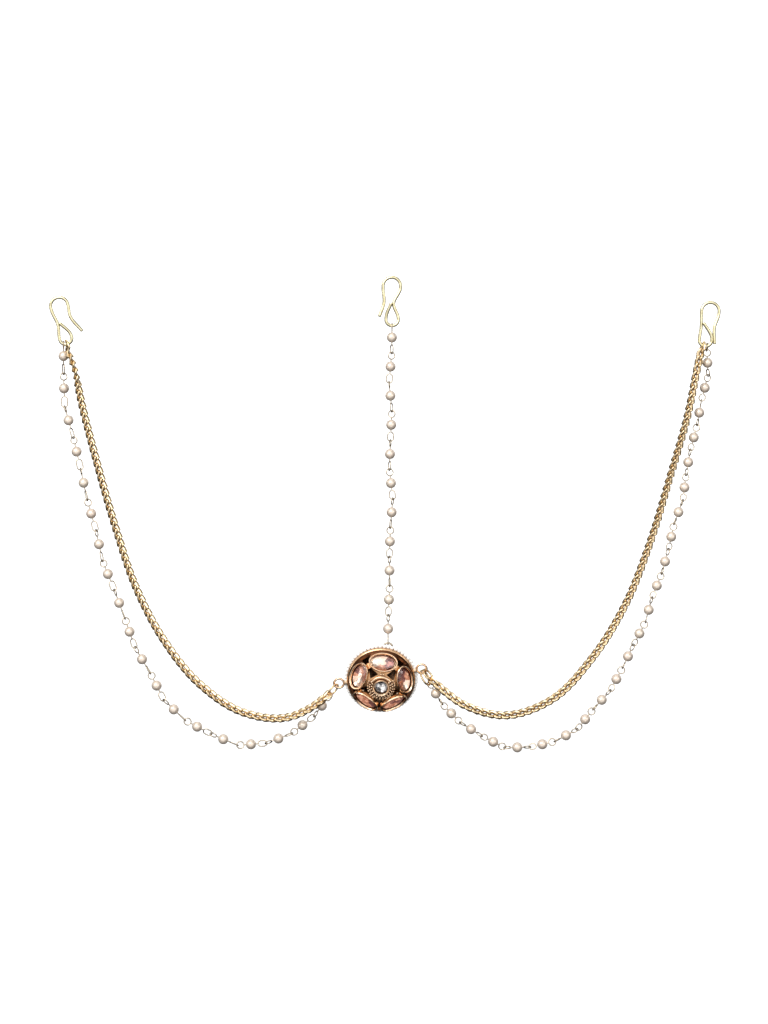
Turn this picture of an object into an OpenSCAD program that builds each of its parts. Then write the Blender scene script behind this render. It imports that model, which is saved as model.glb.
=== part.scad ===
// Matha patti: a head ornament of one openwork medallion hung from three hooks.
// A pearl string rises to the crown hook. A curb chain and a pearl string run
// from each side of the medallion to a side hook.
//
// Frame: millimetres, +Z up, the wearer's right hand side is -X and the face
// looks along -Y. The origin is the underside of the crown hook's bend, the
// place where the jewel hangs.

/* [Medallion] */
// Outer diameter of the gold rim
rim_d = 26.4; // [24:0.2:30]
// Depth of the rim's side wall
rim_h = 2.8; // [2.6:0.1:4]
// Radial width of the rim
rim_w = 1.8; // [1.5:0.1:2.2]
// Height of the domed face above the rim
dome_h = 7.6; // [6:0.1:9]
// Wall of the pierced dome
dome_wall = 0.6; // [0.5:0.05:0.9]
// Angle by which the face looks down
nod = 21; // [10:1:30]
// Width at the rim of a pierced gap between two oval stones
outer_gap_w = 6.2; // [5:0.1:6.6]
// Width at the collar of a pierced gap between two oval stones
inner_gap_w = 3.6; // [3:0.1:4]
// Width of a pierced gap at its narrow end
gap_tip_w = 0.9; // [0.6:0.1:1.2]
// Thickness of the plain back plate
plate_t = 0.5; // [0.4:0.05:0.6]
// Height from the medallion's centre up to the place where the jewel hangs
drop = 154.4; // [150:0.2:165]
// Sideways place of the medallion's centre
medallion_x = -4.2; // [-6:0.1:0]

/* [Stones] */
// Length of an oval stone
oval_l = 9.4; // [8:0.1:10]
// Width of an oval stone
oval_w = 5.8; // [4.8:0.1:6.2]
// Distance from the medallion's axis to an oval stone
oval_r = 9.25; // [9:0.05:9.6]
// Diameter of the round centre stone
centre_d = 4.8; // [4:0.1:5.2]
// Height of the straight girdle of a stone
girdle_h = 0.5; // [0.3:0.05:0.8]
// Height from a stone's girdle to its table
crown_h = 0.8; // [0.5:0.05:1.2]
// Size of a stone's table as a share of its outline
table_share = 0.62; // [0.5:0.01:0.75]
// Wall of a stone's bezel
bezel_wall = 0.65; // [0.5:0.05:0.8]
// Depth of a bezel's cup, floor included
cup_h = 2.2; // [1.8:0.1:2.6]
// Floor of a bezel's cup
cup_floor = 0.5; // [0.4:0.05:0.7]
// Height of a bezel's edge over the dome
cup_stand = 0.5; // [0.3:0.05:0.8]
// Radial width of the raised collar round the centre stone
collar_w = 1.5; // [1:0.1:1.8]

/* [Bead edging] */
// Diameter of the ring of small beads set in the rim's channel
edging_d = 1.45; // [1:0.05:1.6]

/* [Side loops and jump rings] */
// Wire of the loops soldered to the rim
loop_wire = 0.9; // [0.8:0.05:1.1]
// Centre line radius of a side loop
loop_r = 1.9; // [1.8:0.05:2.3]
// Centre line radius of the crown string's small eye behind the rim
back_eye_r = 1.7; // [1.5:0.05:2]
// Wire of the small eye behind the rim
back_eye_wire = 0.8; // [0.7:0.05:1]
// Wire of a jump ring
ring_wire = 0.8; // [0.7:0.05:0.95]
// Centre line radius of a jump ring
ring_r = 2.65; // [2.4:0.05:3]
// Centre line radius of the right string's jump ring
string_ring_r = 3.1; // [2.8:0.05:3.3]
// Wire of the small ring under the right hook
top_ring_wire = 0.6; // [0.5:0.05:0.7]
// Centre line radius of the small ring under the right hook
top_ring_r = 1.55; // [1.45:0.05:1.7]

/* [Hooks] */
// Wire of a hook
hook_wire = 1.3; // [1.1:0.05:1.5]
// Inner radius of a hook's bend
bend_in = 2.75; // [2.5:0.05:3.5]
// Inner radius of a hook's eye
eye_in = 1.75; // [1.6:0.05:2.1]

/* [Curb chains] */
// Wire of a link
link_wire = 0.8; // [0.65:0.05:0.85]
// Outer width of a link
link_w = 3.2; // [3:0.05:3.5]
// Length of chain taken up by one link
link_pitch = 2.9; // [2.8:0.05:3.4]
// Tilt of a link's end out of the link's flat
link_twist = 55; // [50:1:58]

/* [Pearl strings] */
// Diameter of a pearl
pearl_d = 4; // [3.4:0.05:4.2]
// Bore of a pearl
bore_d = 0.75; // [0.7:0.05:0.9]
// Wire of the eye pins that carry the pearls
pin_wire = 0.5; // [0.4:0.05:0.55]
// Centre line radius of a pin's upper loop
upper_r = 1.35; // [1.25:0.05:1.4]
// Centre line radius of the round ends of a pin's lower loop
lower_r = 1.15; // [1:0.05:1.25]
// Pearls on the crown string
crown_count = 11; // [9:1:12]
// Pearls on the left string
left_count = 19; // [17:1:21]
// Pearls on the right string
right_count = 23; // [20:1:23]
// Sideways sway of a string's joints
sway = 0.5; // [0:0.1:0.8]

/* [Clearances] */
// Gap between wires that hold each other
wire_gap = 0.16; // [0.14:0.01:0.18]
// Gap round a stone, a plate or an edging in its seat
seat_gap = 0.12; // [0.1:0.01:0.15]

/* [Hidden] */
GOLD = [0.83, 0.62, 0.33];
ROSE = [0.74, 0.47, 0.29];
PALE = [0.86, 0.80, 0.62];
BACK = [0, 1, 0];

// Medallion, worked out in its own frame: X right, Y up the face, Z out of it
rim_r = rim_d/2;
dome_r = (rim_r*rim_r + dome_h*dome_h)/(2*dome_h);
dome_z = dome_h - dome_r;
oval_count = 5;
oval_first = 85;
oval_step = 360/oval_count;
oval_tilt = asin(oval_r/dome_r);
collar_r = centre_d/2 + seat_gap + bezel_wall + collar_w;
dome_foot = 0.2;
gap_floor = 1.5;
gap_edge = 0.4;
gap_split = 1.7;
collar_drop = 0.6;
// Front of the rim, as shares of its width inwards and of its depth upwards
rim_shape = [[0, 0.11], [0.19, 0.21], [0.33, 0.21], [0.42, 0.14], [0.5, 0.32], [1, 0.32]];
back_lip = 0.1;
back_edge = 0.2;
edging_z = 0.2 - rim_h/2;
edging_proud = 0.35;
edging_r = rim_r + edging_proud;
edging_in = edging_r - edging_d/2 - seat_gap;
plate_ledge = 0.7;
plate_r = rim_r - rim_w + plate_ledge;
plate_z = 0.35 - rim_h;
stub_w = 1.6;
stub_t = 0.6;
stub_l = 1.2;
side_loop_r = rim_r + stub_l + loop_r;
side_loop_z = 0.05;
eye_sunk = 0.15;
back_eye_at = 78;
back_eye_z = eye_sunk - rim_h - back_eye_wire/2;
back_eye_in = 0.5;
back_eye_ring_r = rim_r - back_eye_in;
medallion_y = -turned([0, back_eye_ring_r*sin(back_eye_at) + back_eye_r, back_eye_z])[1];
medallion_at = [medallion_x, medallion_y, -drop];

function turned(p) = [p[0], -sin(nod)*p[1] - cos(nod)*p[2], cos(nod)*p[1] - sin(nod)*p[2]];
function face_point(p) = medallion_at + turned(p);
function polar(r, a, z) = [r*cos(a), r*sin(a), z];

// Hooks: each row holds the place of the bend's underside, the side on which
// the tip lies, the lean, and points of the wire as [sideways, height] pairs
HANG = 0;
SIDE = 1;
LEAN = 2;
TIP = 3;
WAIST = 4;
NECK = 5;
EYE = 6;
END_UP = 7;
crown_row = [[0, 0, 0], -1, -1.7, [4.5, -14.7], [2.8, -9], [-0.9, -9.6], [-0.5, -15.6], 0.3];
left_row = [[-128.8, 0, -7.8], 1, 15.4, [6, -14.4], [3, -7.2], [-2.4, -10], [-0.9, -15.3], 0.8];
right_row = [[122.8, 0, -9.7], 1, -5.1, [2.8, -15.3], [2.1, -8.8], [-3, -9.2], [-0.9, -14], 1.8];
bend_r = bend_in + hook_wire/2;
eye_r = eye_in + hook_wire/2;
hook_step = 1.9;
key_step = 25;
bend_from = -10;
bend_to = 190;
eye_from = 170;
eye_to = 370;
eye_back = 0.3;
end_back = 0.6;

// Places on a side hook's eye, as angles from its lowest point
left_chain_seat = 10;
left_string_seat = -34;
right_chain_seat = -33;
right_string_seat = 27;

// Chosen points of the free stretch of each chain and string. The crown
// string's heights are shares of the drop
crown_bends = [[-0.6, 0.22], [-0.4, 0.363], [-0.7, 0.479], [0, 0.596], [-1.3, 0.712], [-0.9, 0.816]];
crown_route = [for (p = crown_bends) [p[0], 0, -p[1]*drop]];
left_chain_route = [[-124.2, -1.5, -28.8], [-122.4, -2, -33.4], [-119.4, -1.6, -47.5],
    [-113.4, -1, -71], [-106.3, 0, -96], [-98.2, 0, -119.5], [-87.5, 0, -139.5],
    [-74, 0, -156], [-57, 0.4, -167], [-40, 0.6, -168.8], [-31, 1.2, -165]];
right_chain_route = [[118.6, -1.4, -29], [117.4, -1.9, -34.2], [113.8, -1.6, -52],
    [107, -1, -76], [99.5, 0, -101], [90, 0, -125], [77, 0, -146], [61, -0.4, -162.2],
    [43.5, -0.8, -168], [27.9, -1.2, -164]];
left_string_route = [[-127.1, 2.4, -32], [-126.8, 3, -41], [-124.6, 2, -55],
    [-119, 0.8, -76.5], [-113.6, 0.6, -100], [-106.3, 0.8, -122], [-97, 1.4, -145],
    [-84.9, 2.2, -165.4], [-66, 4, -177.4], [-54, 5, -180], [-41.5, 6, -177],
    [-32.2, 6, -170.2]];
right_string_route = [[121.7, 2.2, -36], [120.2, 2.6, -45], [116, 1.6, -61],
    [112.7, 0.8, -80], [107.5, 0.6, -100], [101.5, 0.6, -120], [94.2, 1, -139],
    [83.2, 1.4, -159], [67.5, 2, -175.8], [48, 2.6, -180.9], [30.5, 3, -174],
    [20.2, 3.2, -164.4]];

// Slow roll of each chain: shares of its length, with the roll at each
left_roll = [[0, 0], [0.08, 35], [0.25, 30], [0.45, 68], [0.6, 60], [0.75, 20], [1, 15]];
right_roll = [[0, 0], [0.08, 32], [0.25, 45], [0.5, 30], [0.7, 5], [1, 10]];
ring_roll = 68;

// Slow change of the pins' length along the left string
left_stretch = 0.09;

// Vectors and smooth routes
function unit(v) = v/norm(v);
function slope(p, i) =
    i == 0 ? unit(p[1] - p[0]) :
    i == len(p) - 1 ? unit(p[i] - p[i - 1]) :
    let (u = norm(p[i] - p[i - 1]), v = norm(p[i + 1] - p[i]))
    ((p[i] - p[i - 1])*v/u + (p[i + 1] - p[i])*u/v)/(u + v);
function between_points(p, i, t) =
    let (span = norm(p[i + 1] - p[i]))
    (2*t*t*t - 3*t*t + 1)*p[i] + (t*t*t - 2*t*t + t)*span*slope(p, i)
    + (3*t*t - 2*t*t*t)*p[i + 1] + (t*t*t - t*t)*span*slope(p, i + 1);
function smooth(p, step) = [
    for (i = [0:len(p) - 2], n = ceil(norm(p[i + 1] - p[i])/step), k = [0:n - 1])
        between_points(p, i, k/n),
    p[len(p) - 1]];
function running(p) = [
    for (s = 0, i = 0; i < len(p); s = s + (i < len(p) - 1 ? norm(p[i + 1] - p[i]) : 0),
        i = i + 1) s];
function spaced(p, n, stretch = 0) =
    let (s = running(p), total = s[len(s) - 1],
        table = [for (k = [0:2]) [for (i = [0:len(p) - 1]) [s[i], p[i][k]]]])
    [for (j = [0:n], t = j/n) [for (k = [0:2]) lookup(total*(t + stretch*t*(1 - t)), table[k])]];
function route_length(p) = let (s = running(p)) s[len(s) - 1];

// Placing a piece between two joints: its Z runs up from the second joint to
// the first, and its Y points to the back
function frame_at(a, b) =
    let (z = unit(a - b), x = unit(cross(BACK, z)), y = cross(z, x), m = (a + b)/2)
    [[x[0], y[0], z[0], m[0]], [x[1], y[1], z[1], m[1]], [x[2], y[2], z[2], m[2]],
        [0, 0, 0, 1]];
module between(a, b, roll = 0) multmatrix(frame_at(a, b)) rotate([0, 0, roll]) children();

// A wire swept along points, with flat ends
function wire_ring(c, n, b, r, sides) =
    [for (j = [0:sides - 1]) c + r*(cos(360*j/sides)*n + sin(360*j/sides)*b)];
function tube_faces(rings, sides, closed) = [
    for (i = [0:rings - (closed ? 1 : 2)], j = [0:sides - 1])
        let (a = i*sides, b = ((i + 1) % rings)*sides, k = (j + 1) % sides)
        each [[a + j, b + j, b + k], [a + j, b + k, a + k]]];
module open_wire(p, r, sides) {
    last = len(p) - 1;
    points = [for (i = [0:last])
        let (t = unit(p[min(i + 1, last)] - p[max(i - 1, 0)]), n = unit(cross(BACK, t)))
        each wire_ring(p[i], n, cross(t, n), r, sides)];
    ends = [[for (j = [0:sides - 1]) j], [for (j = [0:sides - 1]) last*sides + sides - 1 - j]];
    polyhedron(points, concat(tube_faces(last + 1, sides, false), ends));
}
module round_ring(r, wire)
    rotate([90, 0, 0]) rotate_extrude($fn = 48) translate([r, 0]) circle(d = wire, $fn = 16);

// Hooks
function hook_at(row, p) =
    let (x = row[SIDE]*p[0], a = row[LEAN])
    row[HANG] + [x*cos(a) - p[2]*sin(a), p[1], x*sin(a) + p[2]*cos(a)];
function on_eye(row, angle) =
    [hook_at(row, [row[EYE][0], 0, row[EYE][1]]) + eye_r*[sin(angle), 0, -cos(angle)],
        [cos(angle), 0, sin(angle)], hook_wire];
function hook_keys(row) = concat(
    [for (p = [row[TIP], row[WAIST]]) [p[0], 0, p[1]]],
    [for (a = [bend_from:key_step:bend_to]) [bend_r*cos(a), 0, -bend_in + bend_r*sin(a)]],
    [[row[NECK][0], 0, row[NECK][1]]],
    [for (a = [eye_from:key_step:eye_to]) [row[EYE][0] + eye_r*cos(a),
        -eye_back*(a - eye_from)/(eye_to - eye_from), row[EYE][1] + eye_r*sin(a)]],
    [[row[NECK][0] + hook_wire + 2*wire_gap, -end_back, row[NECK][1] + row[END_UP]]]);
module hook(row)
    open_wire([for (p = smooth(hook_keys(row), hook_step)) hook_at(row, p)], hook_wire/2, 6);
module crown_hook() color(PALE) hook(crown_row);
module left_hook() color(PALE) hook(left_row);
module right_hook() color(PALE) hook(right_row);

// A wire end held by another wire. A holder is a place on its wire's centre line,
// the wire's direction there and its diameter
function across(v, direction) = unit(v - (v*direction)*direction);
function end_wire(holder, toward, wire) =
    holder[0] + across(toward, holder[1])*((holder[2] + wire)/2 + wire_gap);

// Jump rings: the side loop's angle on the rim, the ring's seat on the loop, the
// direction in which the ring is pulled and its centre line radius
LOOP_AT = 0;
SEAT = 1;
PULL = 2;
SIZE = 3;
LEFT_AT = 185;
RIGHT_AT = 16.5;
left_ring = [LEFT_AT, -130, unit([-0.63, 0, -0.77]), ring_r];
right_ring = [RIGHT_AT, -34, unit([0.65, 0, -0.76]), ring_r];
string_ring = [RIGHT_AT, -95, unit([0.49, 0, -0.87]), string_ring_r];
function side_loop_at(at) = polar(side_loop_r, at, side_loop_z);
function ring_near(row) =
    let (a = row[SEAT], place = side_loop_at(row[LOOP_AT]) + polar(loop_r, a, 0))
    end_wire([face_point(place), turned([-sin(a), cos(a), 0]), loop_wire], -row[PULL], ring_wire);
function on_ring(row, angle) =
    let (x = unit(cross(BACK, -row[PULL])), side = cos(ring_roll)*x + sin(ring_roll)*BACK,
        centre = ring_near(row) + row[SIZE]*row[PULL])
    [centre + row[SIZE]*(cos(angle)*row[PULL] + sin(angle)*side),
        cos(angle)*side - sin(angle)*row[PULL], ring_wire];
module jump_ring(row)
    between(ring_near(row), ring_near(row) + 2*row[SIZE]*row[PULL], ring_roll)
        round_ring(row[SIZE], ring_wire);
module left_jump_ring() color(GOLD) jump_ring(left_ring);
module right_jump_ring() color(GOLD) jump_ring(right_ring);
module right_string_ring() color(GOLD) jump_ring(string_ring);

// Small ring between the right hook's eye and the first pin
top_pull = unit(right_string_route[0] - on_eye(right_row, right_string_seat)[0]);
top_ring_near = end_wire(on_eye(right_row, right_string_seat), -top_pull, top_ring_wire);
top_ring_roll = 74;
on_top_ring = [top_ring_near + 2*top_ring_r*top_pull,
    cos(top_ring_roll)*unit(cross(BACK, -top_pull)) + sin(top_ring_roll)*BACK, top_ring_wire];
module right_top_ring() color(PALE)
    between(top_ring_near, on_top_ring[0], top_ring_roll) round_ring(top_ring_r, top_ring_wire);

// Places on a jump ring, as angles from its farthest point: front and back
chain_on_ring = -26;
string_on_ring = 24;

// Routes from joint to joint. A joint lies midway between the two wires that meet
function joint_at(holder, free, wire) =
    let (toward = unit(holder[0] - free))
    end_wire(holder, toward, wire) - toward*(wire + wire_gap)/2;
function route(start, free, finish, wire) =
    smooth(concat([joint_at(start, free[0], wire)], free,
        [joint_at(finish, free[len(free) - 1], wire)]), 2);
left_chain_path = route(on_eye(left_row, left_chain_seat), left_chain_route,
    on_ring(left_ring, chain_on_ring), link_wire);
right_chain_path = route(on_eye(right_row, right_chain_seat), right_chain_route,
    on_ring(right_ring, chain_on_ring), link_wire);
left_string_path = route(on_eye(left_row, left_string_seat), left_string_route,
    on_ring(left_ring, string_on_ring), pin_wire);
right_string_path = route(on_top_ring, right_string_route,
    on_ring(string_ring, string_on_ring), pin_wire);
crown_path = route(on_eye(crown_row, 0), crown_route,
    [face_point(polar(back_eye_ring_r, back_eye_at, back_eye_z) + [0, back_eye_r, 0]),
        [1, 0, 0], back_eye_wire], pin_wire);

// Curb chains: oval links, twisted so that each end crosses its neighbour's
link_b = (link_w - link_wire)/2;
eye_room = 0.45;
link_end_b = max(link_b, (hook_wire + link_wire)/2 + eye_room);
link_sides = 5;
link_steps = 10;
link_fullness = 0.7;
function link_point(a, b, top, bottom, t) =
    let (w = b*sign(sin(t))*pow(abs(sin(t)), link_fullness), f = (top + bottom)/2 + (top - bottom)/2*cos(t))
    [w*cos(f), w*sin(f), a*cos(t)];
module curb_link(half_length, b, top, bottom) {
    a = half_length/cos(180/link_steps);
    points = [for (i = [0:link_steps - 1])
        let (t = 360*(i + 0.5)/link_steps, p = link_point(a, b, top, bottom, t),
            d = unit(link_point(a, b, top, bottom, t + 2) - link_point(a, b, top, bottom, t - 2)),
            n = unit(p - (p*d)*d))
        each wire_ring(p, n, cross(d, n), link_wire/2, link_sides)];
    polyhedron(points, tube_faces(link_steps, link_sides, true));
}
module curb_chain(path, roll_table) {
    count = round(route_length(path)/link_pitch);
    joints = spaced(path, count);
    for (i = [0:count - 1]) {
        half_length = (norm(joints[i] - joints[i + 1]) + link_wire + wire_gap)/2;
        roll = lookup(i/(count - 1), roll_table);
        top = i == 0 ? -90 : roll + link_twist;
        bottom = i == count - 1 ? 90 - ring_roll : roll - link_twist;
        between(joints[i], joints[i + 1])
            curb_link(half_length, i == 0 ? link_end_b : link_b, top, bottom);
    }
}
module left_chain() color(GOLD) curb_chain(left_chain_path, left_roll);
module right_chain() color(GOLD) curb_chain(right_chain_path, right_roll);

// Pearl strings: each pearl rides on an eye pin, and the pins hold each other.
// Joints sway, and loops wander from their quarter turns, by uneven amounts
sway_turn = 137.5;
sway_depth = 0.6;
wander = 25;
wander_turn = 97;
leg_share = 0.55;
function string_joints(path, n, stretch) =
    let (q = spaced(path, n, stretch))
    [for (j = [0:n]) j == 0 || j == n ? q[j] :
        q[j] + sway*(sin(sway_turn*j)*unit(cross(BACK, q[j - 1] - q[j + 1]))
            + sway_depth*sin(wander_turn*j + 40)*BACK)];
function joint_turn(j) = 90*(j % 2) + wander*sin(wander_turn*j);
min_collar = pin_wire/2 + seat_gap;
function pin_span(a, b) = norm(a - b) + pin_wire + wire_gap;
function pin_room(span) = span - 2*upper_r - 2*lower_r - pearl_d - 2*min_collar;
function lower_leg(span) = leg_share*pin_room(span);
function pearl_z(span) = (lower_r + lower_leg(span)/2) - upper_r;
module eye_pin(span, top, bottom) {
    leg = lower_leg(span);
    neck_top = span/2 - 2*upper_r;
    neck_low = -span/2 + 2*lower_r + leg;
    rotate([0, 0, top]) translate([0, 0, span/2 - upper_r]) round_ring(upper_r, pin_wire);
    translate([0, 0, neck_low]) cylinder(d = pin_wire, h = neck_top - neck_low, $fn = 16);
    rotate([0, 0, bottom]) translate([0, 0, -span/2 + lower_r]) {
        for (s = [0, 1]) translate([0, 0, s*leg]) rotate([90, 180 - s*180, 0])
            rotate_extrude(angle = 180, $fn = 48) translate([lower_r, 0])
                circle(d = pin_wire, $fn = 16);
        for (x = [-lower_r, lower_r]) translate([x, 0, 0])
            cylinder(d = pin_wire, h = leg, $fn = 16);
    }
}
module pins(path, n, first_turn, last_turn, stretch = 0) {
    q = string_joints(path, n, stretch);
    for (i = [0:n - 1]) between(q[i], q[i + 1])
        eye_pin(pin_span(q[i], q[i + 1]), i == 0 ? first_turn : joint_turn(i) + 90,
            i == n - 1 ? last_turn : joint_turn(i + 1));
}
module pearls(path, n, stretch = 0) {
    q = string_joints(path, n, stretch);
    for (i = [0:n - 1]) between(q[i], q[i + 1])
        translate([0, 0, pearl_z(pin_span(q[i], q[i + 1]))]) difference() {
            sphere(d = pearl_d, $fn = 48);
            cylinder(d = bore_d, h = pearl_d + 1, center = true, $fn = 16);
        }
}
module crown_pins() color(PALE) pins(crown_path, crown_count, 90, 90);
module left_pins() color(PALE)
    pins(left_string_path, left_count, 90, 90 - ring_roll, left_stretch);
module right_pins() color(PALE)
    pins(right_string_path, right_count, top_ring_roll - 90, 90 - ring_roll);
module crown_pearls() color("mistyrose") pearls(crown_path, crown_count);
module left_pearls() color("mistyrose") pearls(left_string_path, left_count, left_stretch);
module right_pearls() color("mistyrose") pearls(right_string_path, right_count);

// Medallion
module on_face() translate(medallion_at) rotate([90 + nod, 0, 0]) children();
module at_oval(k)
    rotate([0, 0, oval_first + k*oval_step]) translate([0, 0, dome_z])
        rotate([0, oval_tilt, 0]) translate([0, 0, dome_r]) children();
function oval(l, w) = [for (i = [0:23]) [w/2*cos(15*i), l/2*sin(15*i)]];
module oval_prism(grow, low, high)
    translate([0, 0, low]) linear_extrude(height = high - low)
        polygon(oval(oval_l + 2*grow, oval_w + 2*grow));
module rim()
    rotate_extrude($fn = 96) polygon([
        [rim_r - rim_w, plate_z + plate_t + seat_gap],
        [plate_r, plate_z + plate_t + seat_gap], [plate_r, -rim_h],
        [rim_r - back_edge, -rim_h], [rim_r + back_lip, edging_z - edging_d/2 - seat_gap],
        [edging_in, edging_z - edging_d/2 - seat_gap],
        [edging_in, edging_z + edging_d/2 + seat_gap],
        [rim_r, edging_z + edging_d/2 + seat_gap],
        for (p = rim_shape) [rim_r - p[0]*rim_w, p[1]*rim_h]]);
module gap_prism(inner, outer, inner_w, outer_w)
    translate([0, 0, gap_floor]) linear_extrude(height = dome_h)
        polygon([[inner, -inner_w/2], [outer, -outer_w/2], [outer, outer_w/2],
            [inner, inner_w/2]]);
module dome()
    difference() {
        translate([0, 0, dome_z]) sphere(r = dome_r, $fn = 96);
        translate([0, 0, dome_z]) sphere(r = dome_r - dome_wall, $fn = 96);
        translate([0, 0, dome_foot - dome_r*2]) cylinder(r = dome_r*2, h = dome_r*2, $fn = 48);
        for (k = [0:oval_count - 1]) rotate([0, 0, oval_first + (k + 0.5)*oval_step]) {
            gap_prism(collar_r + gap_edge, oval_r - gap_split/2, inner_gap_w, gap_tip_w);
            gap_prism(oval_r + gap_split/2, rim_r - rim_w/2, gap_tip_w, outer_gap_w);
        }
    }
module medallion_frame() color(ROSE) on_face() {
    centre_top = dome_h + cup_stand;
    centre_cup_r = centre_d/2 + seat_gap + bezel_wall;
    difference() {
        union() {
            rim();
            dome();
            for (k = [0:oval_count - 1])
                at_oval(k) oval_prism(seat_gap + bezel_wall, cup_stand - cup_h, cup_stand);
            translate([0, 0, centre_top - cup_h]) cylinder(r = centre_cup_r, h = cup_h, $fn = 48);
            translate([0, 0, centre_top - cup_h])
                cylinder(r = collar_r, h = cup_h - collar_drop, $fn = 48);
        }
        for (k = [0:oval_count - 1])
            at_oval(k) oval_prism(seat_gap, cup_stand - cup_h + cup_floor, cup_stand + 1);
        translate([0, 0, centre_top - cup_h + cup_floor])
            cylinder(d = centre_d + 2*seat_gap, h = cup_h, $fn = 48);
    }
    for (at = [LEFT_AT, RIGHT_AT]) {
        translate(side_loop_at(at)) rotate([90, 0, 0]) round_ring(loop_r, loop_wire);
        rotate([0, 0, at]) translate([rim_r - rim_w/2, -stub_w/2, side_loop_z - stub_t/2])
            cube([rim_w/2 + stub_l, stub_w, stub_t]);
    }
    translate(polar(back_eye_ring_r, back_eye_at, back_eye_z))
        rotate([90, 0, 0]) round_ring(back_eye_r, back_eye_wire);
}
module back_plate() color(ROSE) on_face()
    translate([0, 0, plate_z]) cylinder(r = plate_r - seat_gap, h = plate_t, $fn = 96);
module bead_edging() color("snow") on_face()
    translate([0, 0, edging_z]) rotate_extrude($fn = 96) translate([edging_r, 0])
        circle(d = edging_d, $fn = 24);

// Cut stones: a straight girdle, a row of facets and a flat table
module cut_stone(l, w, sides) {
    outline = [for (i = [0:sides - 1]) [w/2*cos(360*i/sides), l/2*sin(360*i/sides)]];
    table_turn = 180/sides;
    table = [for (i = [0:sides - 1]) table_share*[w/2*cos(360*i/sides + table_turn),
        l/2*sin(360*i/sides + table_turn)]];
    points = concat([for (p = outline) [p[0], p[1], 0]], [for (p = outline) [p[0], p[1], girdle_h]],
        [for (p = table) [p[0], p[1], girdle_h + crown_h]]);
    walls = [for (i = [0:sides - 1]) let (k = (i + 1) % sides)
        [i, sides + i, sides + k, k]];
    facets = [for (i = [0:sides - 1]) let (k = (i + 1) % sides)
        each [[sides + i, 2*sides + i, sides + k], [sides + k, 2*sides + i, 2*sides + k]]];
    polyhedron(points, concat([[for (i = [0:sides - 1]) i]], walls, facets,
        [[for (i = [0:sides - 1]) 3*sides - 1 - i]]));
}
stone_z = cup_stand - cup_h + cup_floor + seat_gap;
module oval_stone(k) color([0.88, 0.66, 0.56]) on_face() at_oval(k)
    translate([0, 0, stone_z]) cut_stone(oval_l, oval_w, 12);
module oval_stone_1() oval_stone(0);
module oval_stone_2() oval_stone(1);
module oval_stone_3() oval_stone(2);
module oval_stone_4() oval_stone(3);
module oval_stone_5() oval_stone(4);
module centre_stone() color("gainsboro") on_face()
    translate([0, 0, dome_h + stone_z]) cut_stone(centre_d, centre_d, 10);

medallion_frame();
back_plate();
bead_edging();
centre_stone();
oval_stone_1();
oval_stone_2();
oval_stone_3();
oval_stone_4();
oval_stone_5();
left_jump_ring();
right_jump_ring();
right_string_ring();
right_top_ring();
crown_hook();
left_hook();
right_hook();
left_chain();
right_chain();
crown_pins();
crown_pearls();
left_pins();
left_pearls();
right_pins();
right_pearls();
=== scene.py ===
# %% [markdown]
# # Dressing a matha patti
# A matha patti is jewellery for the parting and the hairline: a medallion that
# lies on the forehead, a string of pearls up to the crown, and a curb chain and
# a pearl string to each side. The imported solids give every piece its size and
# place. This lesson models the same pieces again with the roundness, the small
# grains and the finishes of the real metal, glass and pearl.

import math
import random

import bmesh
import bpy
from mathutils import Matrix, Vector


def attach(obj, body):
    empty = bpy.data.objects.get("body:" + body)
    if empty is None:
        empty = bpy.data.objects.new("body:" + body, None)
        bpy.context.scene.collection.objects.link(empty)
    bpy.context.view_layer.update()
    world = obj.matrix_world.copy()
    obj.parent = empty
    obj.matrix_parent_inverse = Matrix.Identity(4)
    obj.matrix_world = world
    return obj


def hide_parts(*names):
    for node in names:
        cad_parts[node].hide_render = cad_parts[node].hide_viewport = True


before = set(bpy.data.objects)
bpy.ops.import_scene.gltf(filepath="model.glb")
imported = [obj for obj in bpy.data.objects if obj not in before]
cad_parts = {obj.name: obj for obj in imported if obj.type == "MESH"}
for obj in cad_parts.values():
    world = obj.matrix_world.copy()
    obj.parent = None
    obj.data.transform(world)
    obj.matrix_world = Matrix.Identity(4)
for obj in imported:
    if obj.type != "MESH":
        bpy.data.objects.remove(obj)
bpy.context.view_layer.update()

# %% [markdown]
# ## Working in millimetres
# Blender counts in metres and a jeweller in millimetres. Two small helpers
# turn one into the other, so that every size below can be read as it would be
# on the bench. A third one empties the selection, because an operator acts on
# all that is selected.

# %% Lengths and selection
MM = 0.001


def mm(*lengths):
    return Vector([length * MM for length in lengths])


def start_fresh():
    if bpy.context.object and bpy.context.object.mode == "EDIT":
        bpy.ops.object.mode_set(mode="OBJECT")
    bpy.ops.object.select_all(action="DESELECT")


def edit(piece):
    start_fresh()
    bpy.context.view_layer.objects.active = piece
    piece.select_set(True)
    bpy.ops.object.mode_set(mode="EDIT")


def finish_edit(piece, smooth=40):
    bpy.ops.mesh.select_all(action="SELECT")
    bpy.ops.mesh.normals_make_consistent(inside=False)
    bpy.ops.object.mode_set(mode="OBJECT")
    bpy.ops.object.shade_smooth_by_angle(angle=math.radians(smooth))
    return piece


# %% [markdown]
# ## Picking parts of a mesh
# By hand, a face or a corner is picked with the mouse. Here it is picked by its
# place or by the way that it faces, which does the same and can be repeated.

# %% Pickers
def pick_corners(piece, wanted):
    bpy.ops.mesh.select_mode(type="VERT")
    bpy.ops.mesh.select_all(action="DESELECT")
    mesh = bmesh.from_edit_mesh(piece.data)
    for corner in mesh.verts:
        corner.select_set(wanted(corner.co))
    mesh.select_flush_mode()
    bmesh.update_edit_mesh(piece.data)


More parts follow.
